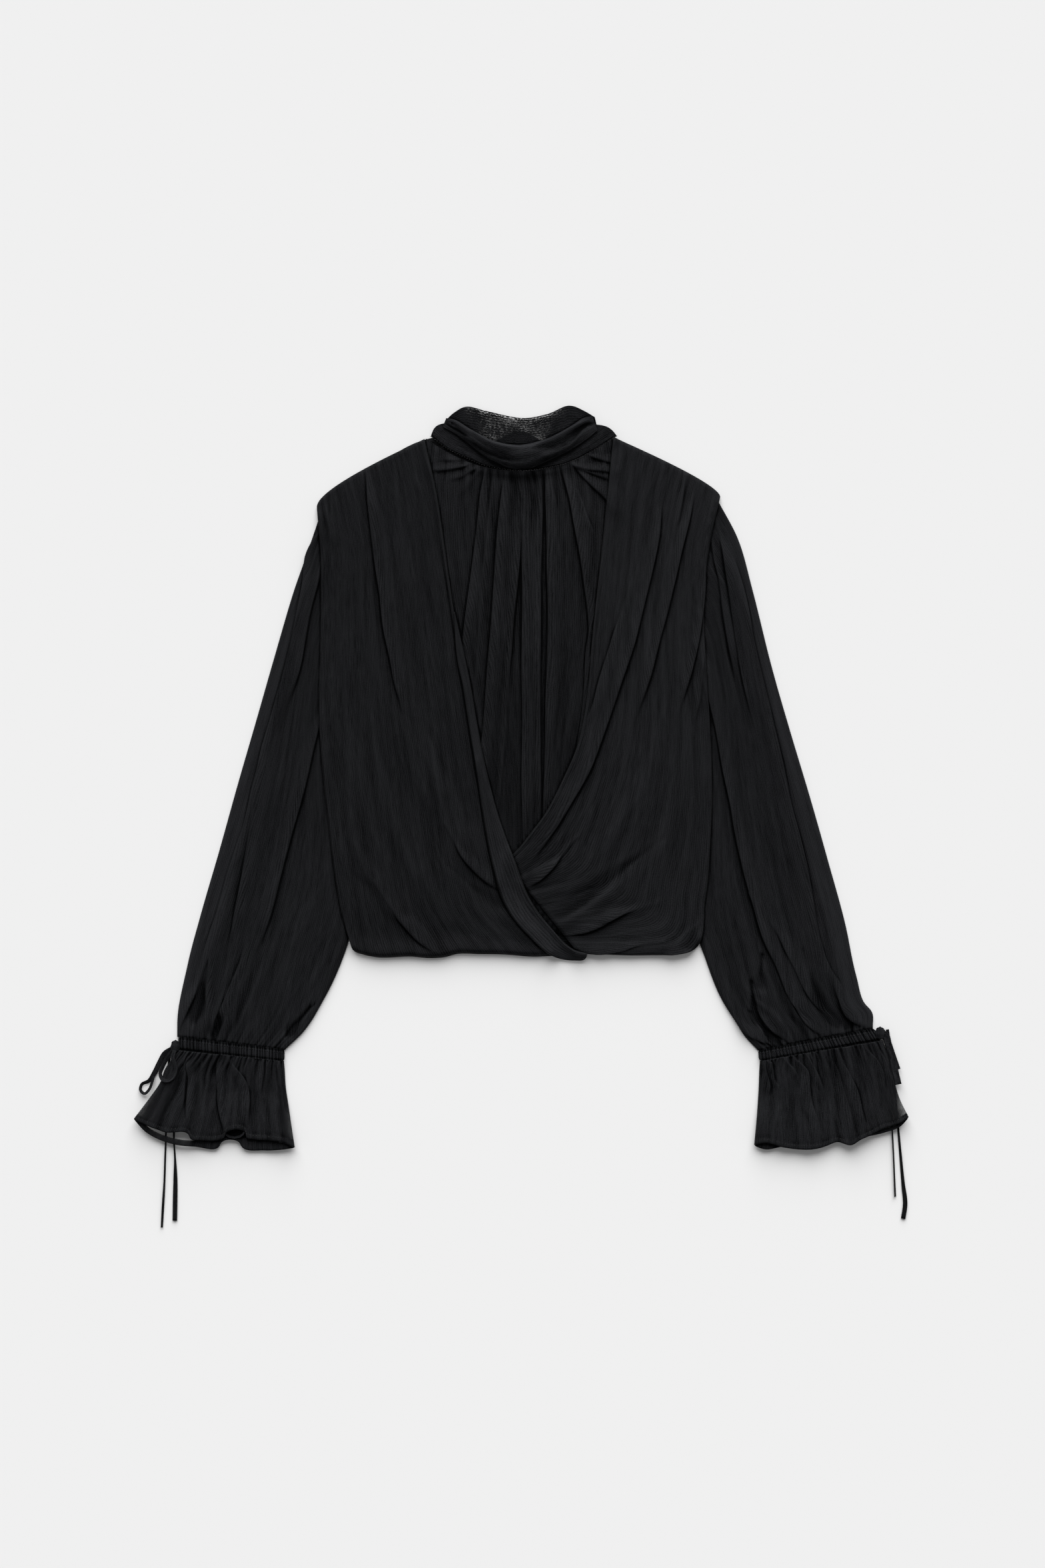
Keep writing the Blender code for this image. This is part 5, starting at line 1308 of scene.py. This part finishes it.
def make_knots(material):
    """Each bow's knot, whose wraps show as rings round it."""
    across, length, height = KNOT_FORM
    for node, (x, y) in KNOTS.items():
        lat = np.linspace(0, pi, KNOT_GRID[0])[1:-1, None]
        lon = np.linspace(0, 2 * pi, KNOT_GRID[1])[:-1]
        side = 1 if x > 0 else -1
        turn = np.cos(lat) * 0.5 + side * KNOT_SLANT * np.sin(lon)
        wraps = 0.5 + 0.5 * np.cos(KNOT_TURNS * 2 * pi * turn)
        size = KNOT_WRAP[0] + KNOT_WRAP[1] * wraps
        grid = np.stack([across * np.sin(lat) * np.cos(lon) * size,
                         length * np.cos(lat) * size,
                         height * np.sin(lat) * np.sin(lon) * size], axis=-1)
        ends = [(x, y + length, KNOT_HEIGHT), (x, y - length, KNOT_HEIGHT)]
        verts = np.concatenate([grid.reshape(-1, 3) + (x, y, KNOT_HEIGHT), ends])
        rows, count = grid.shape[:2]
        faces = grid_faces(rows, count, closed=True).tolist()
        last = rows * count
        for k in range(count):
            faces.append([k, (k + 1) % count, last])
        for k in range(count):
            faces.append([last - count + k, last - count + (k + 1) % count, last + 1])
        obj = outward(mesh_object(node + "_wraps", verts, faces, material))
        attach(obj, "tie_cloth", node)


def make_loops(material):
    """Each bow's two loops, which lie on the casing and the ruffle and run into their knot."""
    for node, points in LOOPS.items():
        knot = np.array(KNOTS["knot_right" if points[0][0] < 0 else "knot_left"])
        near = [point for point in (points[0], points[-1]) if np.linalg.norm(knot - point) < KNOT_REACH]
        ends = [tuple(knot + (np.array(point) - knot) * LOOP_START) for point in near]
        route = ends[:1] + list(points) + ends[1:]
        form = LOOP_FORMS[node]
        plan = even_route(route, LOOP_STEPS)
        width, twist = ribbon_form(form, LOOP_STEPS)
        level = LAID.under(plan, firm=2, soft=3) + LOOP_THICK + LOOP_LIFT.get(node, 0)
        level = level + 0.5 * width * np.abs(np.sin(twist))
        wide = np.pad(level, LOOP_SOFT, mode="edge")
        around = [wide[k:k + len(level)] for k in range(2 * LOOP_SOFT + 1)]
        level = np.maximum(level, np.mean(around, axis=0))
        route = np.column_stack([plan, level])
        obj = outward(ribbon(node + "_ribbon", route, form, material, thick=LOOP_THICK))
        attach(obj, "tie_cloth", node)


# ---------------------------------------------------------------- the collar

def make_stand(material, t, seam, low, mouth):
    """The collar's stand, from the neck seam to under the roll."""
    inner = low + (mouth - low) * STAND_REACH
    across = np.linspace(0, 1, 17)
    along = lengths(low)[:, None]
    plan = seam[:, None] + (inner - seam)[:, None] * across[None, :, None]
    width = np.linalg.norm(inner - seam, axis=1)[:, None] * across
    aside = np.sign(t - 0.5) * bell(np.minimum(t, 1 - t), STAND_BULGE[1])
    bulge = STAND_BULGE[0] * np.sin(pi * across)[None, :] * np.abs(aside)[:, None]
    outward_way = np.stack([0.6 * np.sign(aside), 0.8 * np.ones_like(aside)], axis=1)
    plan = plan + bulge[..., None] * outward_way[:, None]
    level = STAND_SEAM + (STAND_TOP - STAND_SEAM) * across - 1.0 * (1 - rounded(width / ROUND))
    folds = gather_field(STAND_GATHERS, across, t, STAND_SEED).T
    points = np.dstack([plan, level + folds * smooth(width / STAND_FLAT)])
    obj = cloth_object("collar_stand_cloth", points, material, fresh_weave(width, along, STAND_SEED),
                       crest=crests(folds, 1.3, 1.3) - 0.2)
    attach(obj, "collar_cloth", "collar_stand")


def make_roll(material, t, low, mouth, height):
    """The cowl roll over the stand, with its own folds along it."""
    shape = np.array(ROLL_SECTION)
    section = through(lengths(shape) / lengths(shape)[-1], shape, np.linspace(0, 1, 56))
    base = STAND_TOP + 0.3 + LAYER
    plan = low[:, None] + (mouth - low)[:, None] * section[None, :, :1]
    level = base + (height - base)[:, None] * section[None, :, 1]
    lift, lean = fold_field(plan, ROLL_FOLDS)
    girth = lengths(section * ROLL_SIZE)[None, :]
    along = lengths(low)[:, None]
    ripples = ripple_field(girth, along * 0.6 + girth * 0.8, ROLL_SEED, 0.8)
    ends = smooth(np.minimum(t, 1 - t) / 0.05)[:, None]
    on_top = smooth((section[:, 1] - 0.3) / 0.5)[None, :]
    level = level + (slack(lift, ROLL_DEPTH) * ends + ripples) * on_top
    shift = lean * on_top[..., None]
    # Painted highlight along the top of the roll, and painted shade towards its lower edge.
    highlight = ROLL_HIGHLIGHT[0] * bell(section[:, 0] - ROLL_HIGHLIGHT[1], ROLL_HIGHLIGHT[2]) * (section[:, 1] > 0.5)
    shade = -ROLL_SHADE * smooth((0.5 - section[:, 0]) / 0.5)
    tone = (highlight + shade)[None, :] * smooth(np.minimum(t, 1 - t) / 0.15)[:, None]
    obj = cloth_object("collar_roll_cloth", np.dstack([plan + shift, level]), material,
                       fresh_weave(girth, along, ROLL_SEED),
                       crest=crests(lift + ripples, 1.4, 0.9) + tone - 0.1)
    attach(obj, "collar_cloth", "collar_roll")


def make_collar_back(sheer_material):
    """The collar's back half, seen in the neck's opening and sheer in the middle."""
    t = np.linspace(0, 1, 121)
    across = np.linspace(0, 1, 25)
    plan = section_lines(COLLAR_BACK, t, across)[0]
    rise = through(columns(COLLAR_BACK, "v")[:, 0], columns(COLLAR_BACK, "rise"), t)
    along = lengths(plan[:, len(across) // 2])[:, None]
    width = across[None, :] * BACK_WIDTH
    ripples = ripple_field(width, along, BACK_SEED, 0.5)
    level = 1.0 + rise * across[None, :] ** 2 + np.maximum(ripples, 0) * smooth(across / 0.3)[None, :]
    window = smooth((t - 0.20) / 0.08) * (1 - smooth((t - 0.72) / 0.10))
    window = window * (0.50 + 0.75 * smooth((t - 0.30) / 0.08) * (1 - smooth((t - 0.62) / 0.10)))
    clear = window[:, None] * smooth((across - 0.02) / 0.12)[None, :]
    obj = cloth_object("collar_back_cloth", np.dstack([plan, level]), sheer_material,
                       fresh_weave(width, along, BACK_SEED), sheer=clear)
    attach(obj, "collar_cloth", "collar_back")


def make_collar(material, sheer_material):
    """The stand, its roll and the back half, round the neck opening; the neck seam's line comes back."""
    t = np.linspace(0, 1, 141)
    knots = columns(COLLAR, "t")[:, 0]
    seam, low, mouth = (through(knots, columns(COLLAR, line + "_x", line + "_y"), t)
                        for line in ("seam", "low", "mouth"))
    height = through(knots, columns(COLLAR, "height"), t)[:, 0]
    make_stand(material, t, seam, low, mouth)
    make_roll(material, t, low, mouth, height)
    make_collar_back(sheer_material)
    return seam


# ---------------------------------------------------------------- stitching

def stitches(name, places, headings, material, slot, size=(1.5, 0.5, 0.35)):
    """Small raised stitches of thread at (x, y, z) places, each along its own heading."""
    places = np.asarray(places, float)
    headings = np.asarray(headings, float)
    headings = headings / np.linalg.norm(headings, axis=1, keepdims=True)
    aside = np.column_stack([-headings[:, 1], headings[:, 0]])
    form = ((-1, 0, 0), (-0.5, 0.5, 0.6), (-0.5, -0.5, 0.6), (0.5, 0.5, 0.6), (0.5, -0.5, 0.6), (1, 0, 0))
    faces = ((0, 2, 1), (1, 2, 4, 3), (3, 4, 5), (0, 1, 3, 5), (0, 5, 4, 2))
    verts = []
    quads = []
    for place, ahead, beside in zip(places, headings, aside):
        start = len(verts)
        for a, b, c in form:
            xy = place[:2] + ahead * (a * size[0] / 2) + beside * (b * size[1])
            verts.append((xy[0], xy[1], place[2] + c * size[2]))
        quads += [[start + k for k in face] for face in faces]
    obj = outward(mesh_object(name, verts, quads, material))
    return attach(obj, slot)


def row_of_stitches(line, spacing):
    """Evenly spaced places along a line, on the cloth laid so far, and the line's heading at each."""
    count = max(int(lengths(line)[-1] / spacing), 2)
    plan = even_route(line, count)
    heading = np.gradient(plan, axis=0)
    level = LAID.read(LAID.top, plan)
    return np.column_stack([plan, level]), heading


def seam_zigzag(seam, material):
    """The zigzag row that joins the collar to the body, just below the neck seam."""
    places, headings = row_of_stitches(seam, 2.6)
    aside = np.column_stack([-headings[:, 1], headings[:, 0]])
    aside /= np.linalg.norm(aside, axis=1, keepdims=True)
    swing = np.where(np.arange(len(places)) % 2 == 0, 1.0, -1.0)[:, None]
    headings = headings / np.linalg.norm(headings, axis=1, keepdims=True) + swing * aside * 0.9
    places[:, 2] = LAID.read(spread(LAID.top, 1), places[:, :2]) + 0.05
    stitches("neck_seam_stitching", places, headings, material, "collar_cloth", size=(2.3, 0.3, 0.25))


# ---------------------------------------------------------------- the stage

def make_camera():
    data = bpy.data.cameras.new("camera")
    data.sensor_width = SENSOR
    data.lens = SENSOR * VIEW_HEIGHT / VIEW_TALL
    camera = linked(bpy.data.objects.new("camera", data))
    camera.location = (*VIEW_CENTRE, VIEW_HEIGHT)
    bpy.context.scene.camera = camera


def make_floor():
    material = bpy.data.materials.new("pale_floor")
    set_inputs(node_chain(material)[0]["Principled BSDF"], FLOOR_SHADER)
    data = bpy.data.meshes.new("floor")
    corners = [(-FLOOR, -FLOOR, 0), (FLOOR, -FLOOR, 0), (FLOOR, FLOOR, 0), (-FLOOR, FLOOR, 0)]
    data.from_pydata(corners, [], [(0, 1, 2, 3)])
    data.materials.append(material)
    obj = linked(bpy.data.objects.new("floor", data))
    obj.location.z = -FLOOR_DROP


def make_light():
    """One wide, soft light from the side of the collar, and an even world round it."""
    data = bpy.data.lights.new("window_light", "SUN")
    data.energy = LIGHT_POWER
    data.angle = radians(LIGHT_WIDTH)
    obj = linked(bpy.data.objects.new("window_light", data))
    obj.rotation_euler = (radians(LIGHT_TILT), 0, 0)
    world = bpy.data.worlds.new("studio")
    world.use_nodes = True
    set_inputs(world.node_tree.nodes["Background"], {"Color": (1, 1, 1, 1), "Strength": WORLD_POWER})
    bpy.context.scene.world = world
    bpy.context.scene.view_settings.view_transform = "Standard"


# ---------------------------------------------------------------- the blouse

# Each piece's cut as it shows, all round on a tube, in mm, its area in mm2, how it is held and what it
# lies on.
Cut = namedtuple("Cut", "piece width length area held rests_on")
CUTS = (
    Cut("back", 400, 530, 185000, "laid", ["floor"]),
    Cut("inner_front", 260, 500, 95000, "gathered", ["back"]),
    Cut("front_left", 240, 530, 88000, "laid", ["back", "inner_front"]),
    Cut("front_right", 260, 530, 93000, "laid", ["back", "inner_front", "front_left"]),
    Cut("wrap_band", 21, 370, 7770, "folded", ["inner_front", "front_left"]),
    Cut("collar_stand", 205, 24, 3700, "laid", ["back"]),
    Cut("collar_roll", 190, 36, 5800, "folded", ["collar_stand"]),
    Cut("collar_back", 170, 32, 4500, "laid", ["back"]),
    Cut("sleeve_right", 280, 530, 113000, "gathered", ["floor"]),
    Cut("sleeve_left", 300, 540, 125000, "gathered", ["floor"]),
    Cut("cuff_casing_right", 290, 13.5, 3915, "gathered", ["floor"]),
    Cut("cuff_casing_left", 300, 13.5, 4050, "gathered", ["floor"]),
    Cut("cuff_ruffle_right", 340, 92, 31280, "gathered", ["floor", "tie_right_a", "tie_right_b"]),
    Cut("cuff_ruffle_left", 360, 92, 33120, "gathered", ["floor", "tie_left_a", "tie_left_b"]),
)


def declare_cuts():
    """Go through the cuts and turn each one's rests_on into a list, which nothing uses."""
    for cut in CUTS:
        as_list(cut.rests_on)


def make_sleeve(side, tables, seed, sleeve, cuff, sheer_cuff, thread, pale_thread):
    """A sleeve with its casing, its ruffle and their rows of stitches."""
    tube("sleeve_" + side, tables.sleeve, tables.sleeve_folds, SLEEVE_GATHERS, (215, 116, 26), seed, sleeve,
         "sleeve_cloth", outer_strip=tables.outer_strip)
    tube("cuff_casing_" + side, wider(tables.casing), (), CASING_GATHERS, (14, 240, 60), seed + 1, cuff,
         "cuff_cloth", ripple=0.2, edge=2.5, waves=casing_rows, puffs=CASING_PUFFS)
    tube("cuff_ruffle_" + side, tables.ruffle, tables.ruffle_folds, RUFFLE_GATHERS, (56, 150, 90), seed + 2,
         sheer_cuff, "cuff_cloth", over=tables.over, under=tables.under, stands=True,
         waves=ruffle_waves(seed + 3), sheer=ruffle_sheer(*tables.sheer_sides), gathered=True,
         inside=tables.mouths)
    for k, row in enumerate(CASING_ROWS):
        line = section_lines(tables.casing, np.array([row]), np.linspace(0.02, 0.98, 40))[0][0]
        places, headings = row_of_stitches(line, 2.4)
        stitches("casing_stitching_%s_%d" % (side, k + 1), places, headings, thread, "cuff_cloth")
    hem = np.array([(x, y + HEM_ROW) for x, y in tables.over])[1:-1]
    places, headings = row_of_stitches(hem, 3.0)
    stitches("ruffle_hem_stitching_" + side, places, headings, pale_thread, "cuff_cloth",
             size=(1.6, 0.35, 0.2))


def build():
    make_camera()
    make_ties(crinkled_cloth("tie_chiffon", TIE_DARK, TIE_LIGHT, 0.6, 3.0))

    body = crinkled_cloth("body_chiffon", DARK, LIGHT)
    # The collar's palest colour is half again the body's, so that the roll's painted highlight can reach
    # it.
    collar = crinkled_cloth("collar_chiffon", DARK, [1.5 * c for c in LIGHT], 0.52, 7.0, lined=0.06)
    sheer_collar = crinkled_cloth("sheer_collar_chiffon", DARK, LIGHT, 0.6, 2.4, sheer=0.8,
                                  threads_range=(0.46, 0.62, 0.0, 1.0))
    sleeve = crinkled_cloth("sleeve_chiffon", DARK, LIGHT)
    cuff_light = [1.12 * c for c in LIGHT]
    cuff = crinkled_cloth("cuff_chiffon", DARK, cuff_light, 0.52, 8.0, uneven=0.45)
    sheer_cuff = crinkled_cloth("sheer_cuff_chiffon", DARK, cuff_light, 0.52, 8.0, uneven=0.45, sheer=0.97,
                                threads_range=(0.38, 0.62, 0.7, 1.0))
    thread = crinkled_cloth("thread", THREAD_DARK, THREAD_LIGHT, 0.5, 0.8)
    pale_thread = crinkled_cloth("pale_thread", PALE_DARK, PALE_LIGHT, 8.0, 8.0)

    panel("back", BACK, (), (), (70, 60), 1, body, skew=BACK_SKEW, layer=0.6, ripple=0.4)
    seam = make_collar(collar, sheer_collar)
    for side, seed in (("right", 40), ("left", 50)):
        make_sleeve(side, SIDES[side], seed, sleeve, cuff, sheer_cuff, thread, pale_thread)

    panel("inner_front", INNER_FRONT, INNER_FRONT_FOLDS, NECK_GATHERS, (150, 200), 2, body, start=5.0,
          bunched=1.6, paler=(0.1, -0.6))
    panel("front_left", FRONT_LEFT, FRONT_LEFT_FOLDS, SHOULDER_GATHERS, (185, 150), 3, body,
          skew=SHOULDER_SKEW, turned=True, facing=0.4, paler=(0.35, 0.0))
    panel("front_right", FRONT_RIGHT, FRONT_RIGHT_FOLDS, SHOULDER_GATHERS, (185, 150), 4, body,
          skew=SHOULDER_SKEW, hem=FRONT_HEM, turned=True, facing=1.0, paler=(0.05, -0.2))
    panel("wrap_band", WRAP_BAND, (), (), (200, 24), 5, body, ripple=0.6, paler=(0.35, 0.35))
    make_knots(cuff)
    make_loops(cuff)
    rim = ribbon("ruffle_fold_rim", FOLD_RIM, FOLD_RIM_FORM, cuff)
    attach(outward(rim), "cuff_cloth")
    seam_zigzag(seam, pale_thread)
    paint_crease_shade()
    make_floor()
    declare_cuts()
    make_light()


build()
